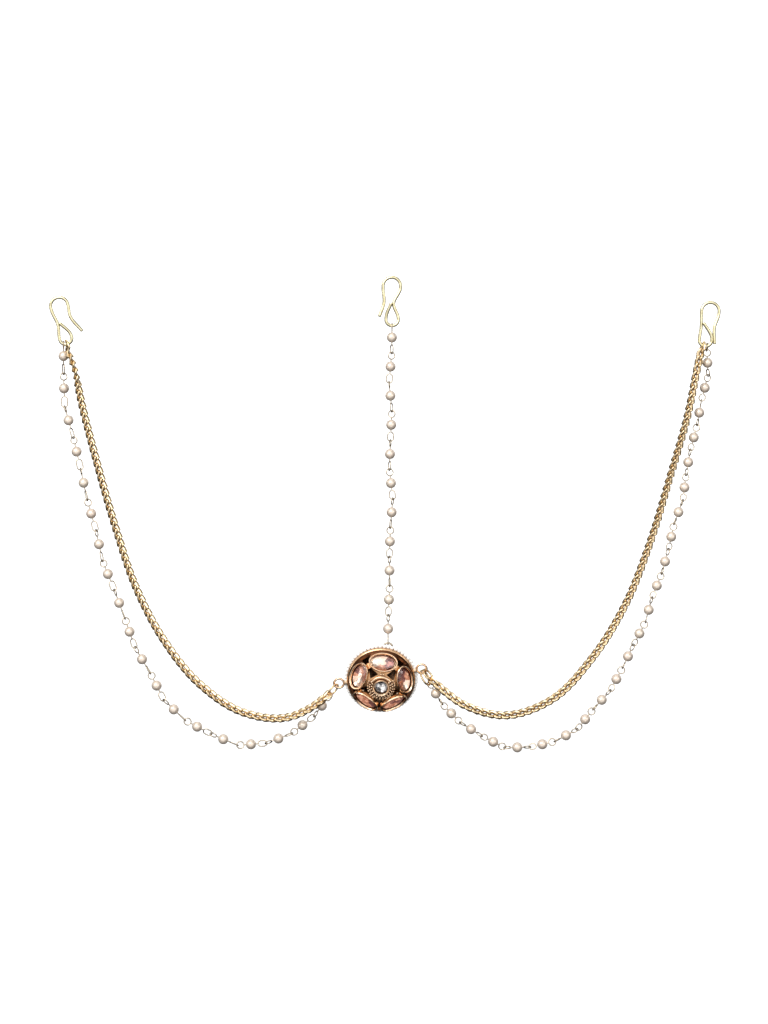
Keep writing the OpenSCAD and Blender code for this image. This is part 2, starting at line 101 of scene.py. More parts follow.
def pick_faces(piece, wanted):
    bpy.ops.mesh.select_mode(type="FACE")
    bpy.ops.mesh.select_all(action="DESELECT")
    mesh = bmesh.from_edit_mesh(piece.data)
    mesh.normal_update()
    for face in mesh.faces:
        face.select_set(wanted(face.calc_center_median(), face.normal))
    mesh.select_flush_mode()
    bmesh.update_edit_mesh(piece.data)


# %% [markdown]
# ## Copies
# Links, pearls, pins, grains and seed beads repeat. Each is modelled once, at
# the middle of the world, and then copied to its places. The copies get meshes
# of their own and are joined into one object, as a maker hands over one chain.

# %% Copying a model to its places
def copies(name, model, places, change=None):
    start_fresh()
    made = []
    for number, place in enumerate(places):
        piece = model.copy()
        piece.data = model.data.copy()
        bpy.context.collection.objects.link(piece)
        if change:
            change(piece.data, number)
        piece.data.transform(place)
        made.append(piece)
    return joined(name, made)


def joined(name, pieces):
    start_fresh()
    for piece in pieces:
        piece.select_set(True)
    bpy.context.view_layer.objects.active = pieces[0]
    if len(pieces) > 1:
        bpy.ops.object.join()
    piece = bpy.context.view_layer.objects.active
    piece.name = piece.data.name = name
    start_fresh()
    return piece


def discard(*models):
    for model in models:
        bpy.data.objects.remove(model)


# %% [markdown]
# ## Camera, backdrop and light
# The photograph looks straight at the jewel from the front, with hardly any
# perspective. A long lens from 1.2 m gives that. The backdrop is a pale sheet
# that runs from the floor up the wall in one sweep, so no edge shows. The jewel
# hangs free above it. A large soft light stands above and to the left of the
# camera, which is what the top stone mirrors. The world is a studio with a
# bright front, a glow above, dark sides and a smaller glow behind, for whoever
# looks at the back. The sheet is left out of reflections. Both together give
# round wire the darker edges that show its form.

# %% Camera
JEWEL_X, JEWEL_Z, CAMERA_AWAY = -0.00308, -0.0897, 1.2
bpy.ops.object.camera_add(location=(JEWEL_X, -CAMERA_AWAY, JEWEL_Z),
                          rotation=(math.radians(90), 0, 0))
camera = bpy.context.object
camera.data.sensor_width = 36
camera.data.lens = 109.6
camera.data.clip_start, camera.data.clip_end = 0.05, 20
bpy.context.scene.camera = camera
print("camera at", [round(v, 4) for v in camera.location], "lens", round(camera.data.lens, 1))


# %% Sweep of floor and wall
def settle(name=None):
    """Writes the active object's place, turn and size into its mesh, and names both."""
    bpy.ops.object.transform_apply(location=True, rotation=True, scale=True)
    piece = bpy.context.object
    if name:
        piece.name = piece.data.name = name
    return piece


FLOOR, SHEET, WALL_HEIGHT = -0.3, 4.4, 2.5
BEND, BEND_STEPS = 0.8, 24
start_fresh()
bpy.ops.mesh.primitive_plane_add(size=SHEET, location=(0, -0.6, FLOOR))
bpy.ops.transform.resize(value=(0.6, 1, 1))
sweep = settle("floor_and_wall")
edit(sweep)
bpy.ops.mesh.select_mode(type="EDGE")
pick_corners(sweep, lambda corner: corner.y > 1.4)
for step in range(BEND_STEPS):
    a, b = (math.radians(90 * (step + k) / BEND_STEPS) for k in (0, 1))
    bpy.ops.mesh.extrude_region_move(TRANSFORM_OT_translate={"value": (
        0, BEND * (math.sin(b) - math.sin(a)), BEND * (math.cos(a) - math.cos(b)))})
bpy.ops.mesh.extrude_region_move(TRANSFORM_OT_translate={"value": (0, 0, WALL_HEIGHT)})
finish_edit(sweep, 60)
sweep.visible_glossy = sweep.visible_diffuse = False
print("sweep faces:", len(sweep.data.polygons))

# %% [markdown]
# ## Wiring a finish
# A finish is a small net of nodes, as in the shader editor. Nearly all of them
# here are a noise, a stretch from one range of values to another, or a mix of
# two colours. Each of these gets a helper that adds the node, sets it and
# wires it, and gives back its output for the next one.

# %% Node helpers
def nodes_of(name):
    material = bpy.data.materials.new(name)
    material.use_nodes = True
    tree = material.node_tree
    return material, tree, tree.nodes["Principled BSDF"]


def fill(node, values):
    for socket, value in values.items():
        node.inputs[socket].default_value = value


def add(tree, kind, values=None, **settings):
    """values go to the node's sockets, settings to the node itself."""
    node = tree.nodes.new("ShaderNode" + kind)
    for setting, value in settings.items():
        setattr(node, setting, value)
    fill(node, values or {})
    return node


def noise(tree, place, scale, detail=2):
    node = add(tree, "TexNoise", {"Scale": scale, "Detail": detail})
    tree.links.new(place, node.inputs["Vector"])
    return node.outputs["Fac"]


def stretch(tree, value, low, high, to_low=0, to_high=1, curve="LINEAR"):
    node = add(tree, "MapRange", {"From Min": low, "From Max": high, "To Min": to_low,
                                  "To Max": to_high}, interpolation_type=curve)
    tree.links.new(value, node.inputs["Value"])
    return node.outputs["Result"]


def blend(tree, share, first, second):
    """first and second are colours or outputs of nodes."""
    node = add(tree, "Mix", data_type="RGBA")
    for socket, colour in (("A", first), ("B", second)):
        if isinstance(colour, tuple):
            node.inputs[socket].default_value = (*colour, 1)
        else:
            tree.links.new(colour, node.inputs[socket])
    tree.links.new(share, node.inputs["Factor"])
    return node.outputs["Result"]


def both_of(tree, operation, first, second):
    node = add(tree, "Math", operation=operation)
    tree.links.new(first, node.inputs[0])
    tree.links.new(second, node.inputs[1])
    return node.outputs["Value"]


# %% Backdrop paper
paper, tree, shader = nodes_of("backdrop_paper")
fill(shader, {"Base Color": (0.93, 0.93, 0.925, 1), "Roughness": 0.95, "Specular IOR Level": 0.1,
              "Emission Color": (1, 1, 1, 1), "Emission Strength": 0.42})
sweep.data.materials.append(paper)

# %% World
world = bpy.data.worlds.new("studio")
bpy.context.scene.world = world
world.use_nodes = True
tree = world.node_tree
air = tree.nodes["Background"]
air.inputs["Color"].default_value = (0.97, 0.98, 1.0, 1)
ways = add(tree, "TexCoord").outputs["Generated"]
DARK = 0.03


def glow_from(direction, low, high, strength):
    """low and high say how near to the direction the glow begins and is full."""
    turn = add(tree, "VectorMath", {1: Vector(direction).normalized()}, operation="DOT_PRODUCT")
    tree.links.new(ways, turn.inputs[0])
    return stretch(tree, turn.outputs["Value"], low, high, DARK, strength, "SMOOTHSTEP")


front = glow_from((-0.12, -1, 0.22), 0.14, 0.9, 1.65)
above = glow_from((0, 0, 1), 0.75, 0.97, 1.0)
behind = glow_from((0.15, 1, 0.2), 0.55, 0.95, 0.9)
glow = both_of(tree, "MAXIMUM", both_of(tree, "MAXIMUM", front, above), behind)
panels = stretch(tree, noise(tree, ways, 2.4, 0), 0.42, 0.58, 0.45, 1)
seen = add(tree, "Mix", {"B": 1.06})
tree.links.new(both_of(tree, "MULTIPLY", glow, panels), seen.inputs["A"])
tree.links.new(add(tree, "LightPath").outputs["Is Camera Ray"], seen.inputs["Factor"])
tree.links.new(seen.outputs["Result"], air.inputs["Strength"])
print("nodes of the world:", len(tree.nodes))


# %% Soft lights
def soft_light(name, place, target, width, height, power):
    start_fresh()
    bpy.ops.object.light_add(type="AREA", location=place)
    light = bpy.context.object
    light.name = name
    light.rotation_euler = (Vector(target) - Vector(place)).to_track_quat("-Z", "Y").to_euler()
    light.data.shape = "RECTANGLE"
    light.data.size, light.data.size_y = width, height
    light.data.energy = power


JEWEL, WALL = (0, 0, -0.1), (0, 2.4, 0.2)
soft_light("key_light", (-0.66, -1.4, 0.8), JEWEL, 1.2, 1.0, 15)
soft_light("fill_light", (1.3, -1.1, 0.1), JEWEL, 0.35, 0.9, 2.2)
soft_light("left_light", (-1.6, -0.7, -0.2), JEWEL, 0.3, 0.5, 1.5)
soft_light("top_light", (0, 0.1, 1.5), JEWEL, 1.4, 1.0, 2)
soft_light("wall_light_left", (-1.7, 0.9, 0.9), WALL, 1.2, 1.2, 9)
soft_light("wall_light_right", (1.7, 0.9, 0.9), WALL, 1.2, 1.2, 9)
view = bpy.context.scene.view_settings
view.view_transform = "Standard"
view.look = "None"

# %% [markdown]
# ## Metal finishes
# The jewel is plated brass: a rosy gold on the medallion, warm gold on the
# chains, pale gold on hooks and pins. Plating isn't even. It is a little
# thinner and redder in places, and it carries fine scratches. One recipe makes
# all of them: a broad noise shifts the colour, a fine one the roughness and the
# bump, both in the real scale of the piece, and an occlusion node paints shade
# into the colour of corners and gaps.

# %% Plated metal
def bumped(tree, shader, height, strength, distance):
    relief = add(tree, "Bump", {"Strength": strength, "Distance": distance * MM})
    tree.links.new(height, relief.inputs["Height"])
    tree.links.new(relief.outputs["Normal"], shader.inputs["Normal"])


def plated(name, bright, shade, corner_shade_colour, roughness, depth=0.6, own=True):
    """The colours are of thick plating, of thin plating, and of painted shade in the corners.
    depth says how many millimetres away a wall still darkens, and own that only the piece's own
    walls do."""
    material, tree, shader = nodes_of(name)
    place = add(tree, "TexCoord").outputs["Object"]
    cloud, grain = noise(tree, place, 420, 3), noise(tree, place, 3800)
    # Painted shade: where occlusion finds walls near, the colour turns to the third tone.
    occlusion_shade = add(tree, "AmbientOcclusion", {"Distance": depth * MM}, only_local=own, samples=6)
    metal = blend(tree, stretch(tree, cloud, 0.35, 0.65), bright, shade)
    colour = blend(tree, stretch(tree, occlusion_shade.outputs["AO"], 0.25, 0.8), corner_shade_colour, metal)
    tree.links.new(colour, shader.inputs["Base Color"])
    dull = stretch(tree, grain, 0, 1, roughness * 0.75, roughness * 1.35)
    tree.links.new(dull, shader.inputs["Roughness"])
    bumped(tree, shader, grain, 0.12, 0.02)
    shader.inputs["Metallic"].default_value = 1
    return material


# The third colour of each finish is the painted shade in its corners and gaps.
rose_gold = plated("rose_gold_plate", (0.88, 0.58, 0.35), (0.80, 0.48, 0.26),
                   (0.10, 0.03, 0.012), 0.2, depth=0.9)
lip_gold = plated("rubbed_lip_gold", (0.95, 0.70, 0.48), (0.88, 0.59, 0.37),
                  (0.18, 0.065, 0.03), 0.16, depth=0.5)
# The bars' brown gold is darker than the rim: painted shade where they lie low between the bezels.
bar_gold = plated("bar_gold_painted_shade", (0.68, 0.39, 0.20), (0.50, 0.26, 0.12),
                  (0.035, 0.012, 0.005), 0.24, depth=1.6)
# This near-black gold is painted shade, for cup floors, inner cup walls, the collar and the dome
# near the rim.
shade_painted_gold = plated("painted_shade_gold", (0.20, 0.08, 0.035), (0.11, 0.04, 0.018),
                   (0.02, 0.006, 0.003), 0.3, depth=2.2)
# The back plate's occlusion also counts the dome, so its inner face is painted dark as shade.
plate_gold = plated("back_plate_gold", (0.80, 0.52, 0.32), (0.70, 0.42, 0.24),
                    (0.02, 0.006, 0.003), 0.26, depth=9, own=False)
warm_gold = plated("warm_gold_plate", (0.92, 0.73, 0.46), (0.85, 0.63, 0.37),
                   (0.11, 0.05, 0.015), 0.17, depth=1.5)
pale_gold = plated("pale_gold_plate", (0.84, 0.77, 0.52), (0.77, 0.68, 0.41),
                   (0.30, 0.22, 0.08), 0.14)
wire_gold = plated("pale_gold_wire", (0.66, 0.58, 0.46), (0.56, 0.47, 0.36),
                   (0.20, 0.14, 0.08), 0.2)
print("metals:", [metal.name for metal in (
    rose_gold, lip_gold, bar_gold, shade_painted_gold, plate_gold, warm_gold, pale_gold, wire_gold)])

# %% [markdown]
# ## Pearl, glass and seed beads
# These pearls are glass beads with a pearl coat: a rosy beige body, a soft
# metallic sheen under a clear skin, and a tone that differs a little from bead
# to bead. The stones are cut glass with a foil behind them. The light goes
# through the glass and comes back from the foil, which is why they flash. The
# foil also has a faint painted glow of its own colour, though it is no lamp.
# The seed beads round the rim are glossy white glass, with a faint painted
# white glow as well.

# %% Pearl coat
def pearl_coat(name):
    material, tree, shader = nodes_of(name)
    place = add(tree, "TexCoord").outputs["Object"]
    from_bead, from_skin = noise(tree, place, 70, 1), noise(tree, place, 1500, 4)
    tone = blend(tree, from_bead, (0.84, 0.66, 0.54), (0.87, 0.76, 0.61))
    spots = blend(tree, stretch(tree, from_skin, 0, 1, 0, 0.35), tone, (0.90, 0.82, 0.73))
    tree.links.new(spots, shader.inputs["Base Color"])
    bumped(tree, shader, from_skin, 0.08, 0.03)
    fill(shader, {"Metallic": 0.4, "Roughness": 0.3, "Coat Weight": 0.5, "Coat Roughness": 0.06})
    return material


pearl_skin = pearl_coat("pearl_skin")
print("coat:", pearl_skin.name)


# %% Cut glass, foil and seed bead glass
def veiled(name, colour, cloudy, scale, values):
    """A finish whose colour drifts a little from one tone to another."""
    material, tree, shader = nodes_of(name)
    veil = noise(tree, add(tree, "TexCoord").outputs["Object"], scale)
    tree.links.new(blend(tree, veil, colour, cloudy), shader.inputs["Base Color"])
    fill(shader, values)
    return material


CUT_GLASS = {"Roughness": 0, "Transmission Weight": 1, "IOR": 1.3, "Coat Weight": 1,
             "Coat IOR": 1.8}
# Seed glass has a faint white emission, a painted glow.
SEED_GLASS = {"Roughness": 0.15, "Coat Weight": 0.4, "Emission Color": (1, 0.98, 0.95, 1),
              "Emission Strength": 0.12}
champagne = veiled("champagne_cut_glass", (1.0, 0.95, 0.92), (1.0, 0.91, 0.87), 300, CUT_GLASS)
clear = veiled("clear_cut_glass", (1.0, 0.99, 0.98), (0.96, 0.95, 0.94), 300, CUT_GLASS)
seed_glass = veiled("seed_bead_glass", (0.97, 0.96, 0.93), (0.93, 0.91, 0.87), 500, SEED_GLASS)


def foil(name, colour, fold, size):
    """size is that of its creases in millimetres."""
    material, tree, shader = nodes_of(name)
    crease = noise(tree, add(tree, "TexCoord").outputs["Object"], 1 / (size * MM), 1)
    tint = blend(tree, stretch(tree, crease, 0.38, 0.6), colour, fold)
    tree.links.new(tint, shader.inputs["Base Color"])
    # The foil's tint also goes to its emission: a painted glow, though the foil is no lamp.
    tree.links.new(tint, shader.inputs["Emission Color"])
    fill(shader, {"Emission Strength": 0.15, "Metallic": 0.8, "Roughness": 0.1})
    return material


# Champagne is the painted highlight, russet the stones' own tone and dull mauve painted shade;
# silver and dull grey are the painted highlight and painted shade of the middle stone.
champagne_highlight_foil = foil("champagne_highlight_foil", (0.93, 0.79, 0.66), (0.80, 0.56, 0.43), 2.6)
russet_foil = foil("russet_foil", (0.68, 0.37, 0.25), (0.42, 0.17, 0.10), 1.6)
mauve_foil = foil("mauve_foil_painted_shade", (0.26, 0.12, 0.10), (0.14, 0.055, 0.05), 1.4)
clear_highlight_foil = foil("silver_highlight_foil", (0.93, 0.91, 0.89), (0.34, 0.32, 0.32), 1.0)
grey_foil = foil("grey_foil_painted_shade", (0.10, 0.095, 0.10), (0.035, 0.033, 0.035), 1.0)
print("glasses:", [glass.name for glass in (
    champagne, clear, seed_glass, champagne_highlight_foil, russet_foil, mauve_foil, clear_highlight_foil, grey_foil)])

# %% [markdown]
# ## Sizes of the medallion
# The same sizes that made the solids place the pieces here. The medallion has
# a frame of its own, with Z out of its face, and one matrix carries it to the
# forehead, where the face looks down a little.

# %% Medallion sizes
RIM_R, RIM_H, RIM_W = 13.2, 2.8, 1.8
DOME_H, DOME_WALL, NOD = 7.6, 0.6, 21
DROP, MEDALLION_X = 154.4, -4.2
OVAL_L, OVAL_W, OVAL_R = 9.4, 5.8, 9.25
CENTRE_D, BEZEL, CUP_H, CUP_FLOOR, CUP_STAND, COLLAR_W = 4.8, 0.65, 2.2, 0.5, 0.5, 1.5
SEAT_GAP, WIRE_GAP = 0.12, 0.16
SEATS_AT = [85 + 72 * k for k in range(5)]
DOME_R = (RIM_R ** 2 + DOME_H ** 2) / (2 * DOME_H)
DOME_Z = DOME_H - DOME_R
TILT = math.asin(OVAL_R / DOME_R)
COLLAR_R = CENTRE_D / 2 + SEAT_GAP + BEZEL + COLLAR_W
PLATE_Z, PLATE_T = 0.35 - RIM_H, 0.5
EDGING_D, EDGING_R, EDGING_Z = 1.45, RIM_R + 0.35, 0.2 - RIM_H / 2
BACK_EYE_R, BACK_EYE_WIRE, BACK_EYE_AT = 1.7, 0.8, 78
BACK_EYE_Z, BACK_EYE_RING_R = 0.15 - RIM_H - BACK_EYE_WIRE / 2, RIM_R - 0.5
print("dome radius %.2f mm, collar radius %.2f mm, tilt %.1f degrees" % (
    DOME_R, COLLAR_R, math.degrees(TILT)))


# %% Medallion frame
def turned(x, y, z):
    s, c = math.sin(math.radians(NOD)), math.cos(math.radians(NOD))
    return Vector((x, -s * y - c * z, c * y - s * z))


BACK_EYE_X, BACK_EYE_Y = (BACK_EYE_RING_R * part(math.radians(BACK_EYE_AT))
                          for part in (math.cos, math.sin))
eye_top = turned(0, BACK_EYE_Y + BACK_EYE_R, BACK_EYE_Z)
MEDALLION_AT = Vector((MEDALLION_X, -eye_top.y, -DROP))
FACE = Matrix.Translation(MEDALLION_AT * MM) @ Matrix.Rotation(math.radians(90 + NOD), 4, "X")


def around(degrees):
    return Matrix.Rotation(math.radians(degrees), 4, "Z")


def shift(x, y, z):
    return Matrix.Translation(mm(x, y, z))


def oval_seat(at):
    return (around(at) @ shift(0, 0, DOME_Z) @ Matrix.Rotation(TILT, 4, "Y")
            @ shift(0, 0, DOME_R))


seats = [oval_seat(at) for at in SEATS_AT]
print("medallion at", [round(v, 2) for v in MEDALLION_AT])


# %% [markdown]
# ## The lathe
# Rim, collar and cups are rings with a profile, as if turned on a lathe. A
# circle is added, then pulled out step by step along the profile, each step
# an extrusion that is moved up and resized. At the end the first and last
# loop are bridged. The spin tool would give the same for a round ring, but
# this way also makes an oval one, because each step resizes length and width
# by themselves.

# %% Turned ring
def modified(piece, kind, **settings):
    """Adds a modifier to the active piece and applies it."""
    modifier = piece.modifiers.new(kind.lower(), kind)
    for setting, value in settings.items():
        setattr(modifier, setting, value)
    bpy.ops.object.modifier_apply(modifier=modifier.name)


def turned_ring(name, half, profile, steps=96, bevel=0.0):
    """half is the ring's half width and half length, and each profile row is
    (growth past it, height), all in millimetres."""
    start_fresh()
    grow, height = profile[0]
    bpy.ops.mesh.primitive_circle_add(vertices=steps, radius=1, location=mm(0, 0, height))
    ring = settle(name)
    edit(ring)
    bpy.ops.mesh.select_all(action="SELECT")
    now = Vector(((half[0] + grow) * MM, (half[1] + grow) * MM))
    bpy.ops.transform.resize(value=(now.x, now.y, 1), center_override=(0, 0, 0))
    for (_, z0), (grow, z1) in zip(profile, profile[1:]):
        new = Vector(((half[0] + grow) * MM, (half[1] + grow) * MM))
        bpy.ops.mesh.extrude_edges_move(TRANSFORM_OT_translate={"value": mm(0, 0, z1 - z0)})
        bpy.ops.transform.resize(value=(new.x / now.x, new.y / now.y, 1),
                                 center_override=(0, 0, 0))
        now = new
    bpy.ops.mesh.select_mode(type="EDGE")
    bpy.ops.mesh.select_all(action="DESELECT")
    bpy.ops.mesh.select_non_manifold()
    bpy.ops.mesh.bridge_edge_loops()
    finish_edit(ring)
    if bevel:
        modified(ring, "BEVEL", width=bevel * MM, segments=2, limit_method="ANGLE",
                 angle_limit=math.radians(40))
        bpy.ops.object.shade_smooth_by_angle(angle=math.radians(40))
    return ring


# %% [markdown]
# ## The rim
# The real rim is a cast ring with a channel for the seed beads in its side, a
# bright edge in front and a step that holds the back plate. It is the piece
# that all others are soldered to, so it comes first.

# %% Rim
channel_in = EDGING_R - EDGING_D / 2 - SEAT_GAP - RIM_R
channel_low, channel_high = (EDGING_Z + side * (EDGING_D / 2 + SEAT_GAP) for side in (-1, 1))
ledge_in, ledge_z = 0.7 - RIM_W, PLATE_Z + PLATE_T + SEAT_GAP
INSIDE_Z = -1.3
rim = turned_ring("rim", (RIM_R, RIM_R), [
    (-RIM_W, ledge_z), (ledge_in, ledge_z), (ledge_in, -RIM_H), (-0.2, -RIM_H),
    (0.1, channel_low), (channel_in, channel_low), (channel_in, channel_high), (0, channel_high),
    (0, 0.11 * RIM_H), (-0.12, 0.2 * RIM_H), (-0.4, 0.27 * RIM_H), (-0.7, 0.25 * RIM_H),
    (-0.86, 0.12 * RIM_H), (-0.9, INSIDE_Z), (-RIM_W, INSIDE_Z)], 120, 0.05)
print("rim faces:", len(rim.data.polygons))

# %% [markdown]
# ## The pierced dome
# Between the stones the medallion is a thin domed shell, sawn open in a large
# and a small gap between each two stones, so that one looks into its dark
# inside. The seats of the stones are sawn out too, because a stone must see
# only its foil below it. A sphere gives the shell its curve, everything below
# the rim is cut off by bisecting, Solidify gives the wall, and gaps and seats
# are cut with wedges and discs by a Boolean, just as a saw follows a line.

# %% Dome shell
DOME_FOOT = 0.7
start_fresh()
bpy.ops.mesh.primitive_uv_sphere_add(segments=96, ring_count=72, radius=DOME_R * MM,
                                     location=mm(0, 0, DOME_Z))
dome = settle("dome")
edit(dome)
bpy.ops.mesh.select_all(action="SELECT")
bpy.ops.mesh.bisect(plane_co=mm(0, 0, DOME_FOOT), plane_no=(0, 0, 1), clear_inner=True)
finish_edit(dome, 60)
modified(dome, "SOLIDIFY", thickness=DOME_WALL * MM, offset=-1)
print("shell faces:", len(dome.data.polygons))

# %% [markdown]
# ## Discs for saws and floors
# The saw that opens a stone's seat and the floor of a cup are both oval discs.
# A cylinder is resized to the oval, and its ends are inset once, so that they
# aren't one fan of long faces.

# %% Disc
def disc(name, half_x, half_y, low, high, steps):
    start_fresh()
    bpy.ops.mesh.primitive_cylinder_add(vertices=steps, radius=1, depth=(high - low) * MM,
                                        location=mm(0, 0, (low + high) / 2))
    bpy.ops.transform.resize(value=(half_x * MM, half_y * MM, 1))
    piece = settle(name)
    edit(piece)
    pick_faces(piece, lambda centre, normal: abs(normal.z) > 0.9)
    bpy.ops.mesh.inset(thickness=0.1 * MM, depth=0)
    return finish_edit(piece)


# %% Saws
SAW_MIDDLE, SAW_TALL = 6, 9


def wedge(inner, outer, inner_w, outer_w, at):
    """A saw for one gap: from and to which radius, how wide at each, and at what angle."""
    start_fresh()
    bpy.ops.mesh.primitive_cube_add(size=1, location=mm((inner + outer) / 2, 0, SAW_MIDDLE))
    bpy.ops.transform.resize(value=mm(outer - inner, 1, SAW_TALL))
    saw = settle()
    edit(saw)
    middle = (inner + outer) / 2 * MM
    for far, width in ((False, inner_w), (True, outer_w)):
        pick_corners(saw, lambda corner: (corner.x > middle) == far)
        bpy.ops.transform.resize(value=(1, width, 1), center_override=(0, 0, 0))
    finish_edit(saw)
    modified(saw, "BEVEL", width=0.22 * MM, segments=3)
    saw.data.transform(around(at))
    return saw


ROOM, SAW_LOW, SAW_HIGH = 0.4, -2.5, 1.5
saws = []
for at, seat in zip(SEATS_AT, seats):
    saws.append(wedge(COLLAR_R + 0.4, OVAL_R - 0.85, 3.6, 0.9, at + 36))
    saws.append(wedge(OVAL_R + 0.7, RIM_R - 0.3, 0.9, 7.2, at + 36))
    saw = disc("seat_saw", OVAL_W / 2 + ROOM, OVAL_L / 2 + ROOM, SAW_LOW, SAW_HIGH, 48)
    saw.data.transform(seat)
    saws.append(saw)
saws.append(disc("middle_saw", CENTRE_D / 2 + ROOM, CENTRE_D / 2 + ROOM,
                 DOME_H + SAW_LOW, DOME_H + SAW_HIGH, 40))
saw = joined("saw", saws)

# %% Sawn gaps
edit(dome)
bpy.ops.object.mode_set(mode="OBJECT")
modified(dome, "BOOLEAN", operation="DIFFERENCE", solver="EXACT", use_self=True, object=saw)
bpy.ops.object.shade_smooth_by_angle(angle=math.radians(35))
discard(saw)
print("dome faces:", len(dome.data.polygons))

# %% [markdown]
# ## The bezels
# A bezel is a cup of strip metal, soldered to the dome and rubbed over the
# stone. It is turned on the oval lathe with a rounded lip and a floor, and
# copied to its five seats. The round one in the middle sits higher. The lip is
# rubbed bright, while the inner wall below it gets a near-black gold, a painted
# shadow line round the stone.

# %% Oval and round cups
LIP = [(0, -0.95), (0.08, -0.5), (0.26, -0.14), (0.42, 0.03), (0.6, 0.04), (0.74, -0.1),
       (0.8, -0.36), (0.78, -0.8)]
CUP_LOW, CUP_LEVEL = CUP_STAND - CUP_H, CUP_STAND - CUP_H + CUP_FLOOR


def cup(name, half, steps):
    hole = -0.9 * min(half)
    rows = [(SEAT_GAP + grow, CUP_STAND + z) for grow, z in LIP]
    rows += [(SEAT_GAP + BEZEL, CUP_LOW), (hole, CUP_LOW), (hole, CUP_LEVEL),
             (SEAT_GAP, CUP_LEVEL)]
    piece = turned_ring(name, half, rows, steps)
    piece.data.materials.append(lip_gold)
    # The second finish, near-black, is a painted shadow line on the inner wall below the lip.
    piece.data.materials.append(shade_painted_gold)
    for face in piece.data.polygons:
        inward = face.normal.xy.dot(face.center.xy) < 0
        face.material_index = int(inward and face.center.z < (CUP_STAND - 0.4) * MM)
    return piece


oval_model = cup("oval_cup", (OVAL_W / 2, OVAL_L / 2), 48)
oval_cups = copies("oval_cups", oval_model, seats)
centre_cup = cup("centre_cup", (CENTRE_D / 2, CENTRE_D / 2), 40)
centre_cup.data.transform(shift(0, 0, DOME_H))
discard(oval_model)
print("cup faces:", len(oval_cups.data.polygons), len(centre_cup.data.polygons))

# %% [markdown]
# ## Cup floors
# The lathe leaves an opening in the middle of a cup's floor. A thin disc closes
# it in each oval cup, so that the foil behind the stone has something to lie on.

# %% Floor discs
floor_model = disc("cup_floor", OVAL_W / 2, OVAL_L / 2, CUP_LOW + 0.02, CUP_LEVEL - 0.02, 32)
cup_floors = copies("cup_floors", floor_model, seats)
discard(floor_model)
print("floor faces:", len(cup_floors.data.polygons))

# %% [markdown]
# ## The collar and its grains
# Round the middle stone lies a raised collar, covered with small grains of
# metal below and at its sides, with a smooth arched band above. Each grain
# was melted to a ball and soldered down. A small sphere is modelled once,
# flattened at its foot, and copied in three rows that step past each other.

# %% Collar
collar_top, collar_low = DOME_H + CUP_STAND - 0.6, DOME_H + CUP_LOW
collar = turned_ring("collar", (COLLAR_R, COLLAR_R), [
    (0, collar_low), (0, collar_top - 0.62), (-0.12, collar_top - 0.42),
    (-0.4, collar_top - 0.3), (-COLLAR_W - 0.4, collar_top - 0.1),
    (-COLLAR_W - 0.4, collar_low)], 64)
print("collar faces:", len(collar.data.polygons))

# %% Grains
GRAIN_R, BAND_FROM, BAND_TO = 0.42, 38, 142
# Radius, how many, first angle and height above the collar.
GRAIN_ROWS = ((3.66, 21, 0, -0.02), (4.42, 25, 5, -0.26), (5.12, 29, 2, -0.95))
start_fresh()
bpy.ops.mesh.primitive_uv_sphere_add(segments=8, ring_count=6, radius=GRAIN_R * MM)
grain_model = bpy.context.object
edit(grain_model)
pick_corners(grain_model, lambda corner: corner.z < -0.2 * MM)
bpy.ops.transform.resize(value=(1, 1, 0.6), center_override=(0, 0, 0))
finish_edit(grain_model, 60)
random.seed(7)
grain_places = []
for radius, count, first, above_collar in GRAIN_ROWS:
    for i in range(count):
        at = first + 360 * i / count
        if BAND_FROM < at % 360 < BAND_TO:
            continue
        size = random.uniform(0.9, 1.06)
        grain_places.append(around(at + random.uniform(-1.5, 1.5))
                            @ shift(radius, 0, collar_top + above_collar)
                            @ Matrix.Scale(size, 4))
grains = copies("grains", grain_model, grain_places)
print("grains:", len(grain_places))

# %% Arched band
BAND_R, BAND_WIRE_R, BAND_PAST = 4.2, 0.5, 2
start_fresh()
bpy.ops.mesh.primitive_circle_add(vertices=10, radius=BAND_WIRE_R * MM, fill_type="NGON",
                                  location=mm(BAND_R, 0, collar_top - 0.32),
                                  rotation=(math.radians(90), 0, 0))
band = settle("arched_band")
edit(band)
bpy.ops.mesh.select_all(action="SELECT")
bpy.ops.mesh.spin(steps=28, angle=math.radians(BAND_TO - BAND_FROM + 2 * BAND_PAST),
                  center=(0, 0, 0), axis=(0, 0, 1))
finish_edit(band, 50)
low_angle = min(math.degrees(math.atan2(v.co.y, v.co.x)) for v in band.data.vertices)
band.data.transform(around(BAND_FROM - BAND_PAST - low_angle))
print("band faces:", len(band.data.polygons))

# %% [markdown]
# ## Bars and milgrain
# Between the collar and each bezel the sawn dome keeps a short bar, and two
# grains sit on it. Along the front of the rim runs milgrain, a row of tiny
# beads that a knurled wheel presses into the edge. Both use the grain from
# above, made smaller.

# %% Milgrain
MILGRAIN, MILGRAIN_SIZE, BAR_GRAIN_SIZE = 110, 0.62, 0.85
milgrain = copies("milgrain", grain_model, [
    around(360 * i / MILGRAIN) @ shift(RIM_R - 0.16, 0, 0.26)
    @ Matrix.Scale(MILGRAIN_SIZE, 4) for i in range(MILGRAIN)])
bar_r = COLLAR_R + 0.55
bar_top = DOME_Z + math.sqrt(DOME_R ** 2 - bar_r ** 2) + 0.1
bar_grains = copies("bar_grains", grain_model, [
    around(at + side) @ shift(bar_r, 0, bar_top) @ Matrix.Scale(BAR_GRAIN_SIZE, 4)
    for at in SEATS_AT for side in (-5, 5)])
discard(grain_model)
print("milgrain beads:", MILGRAIN)

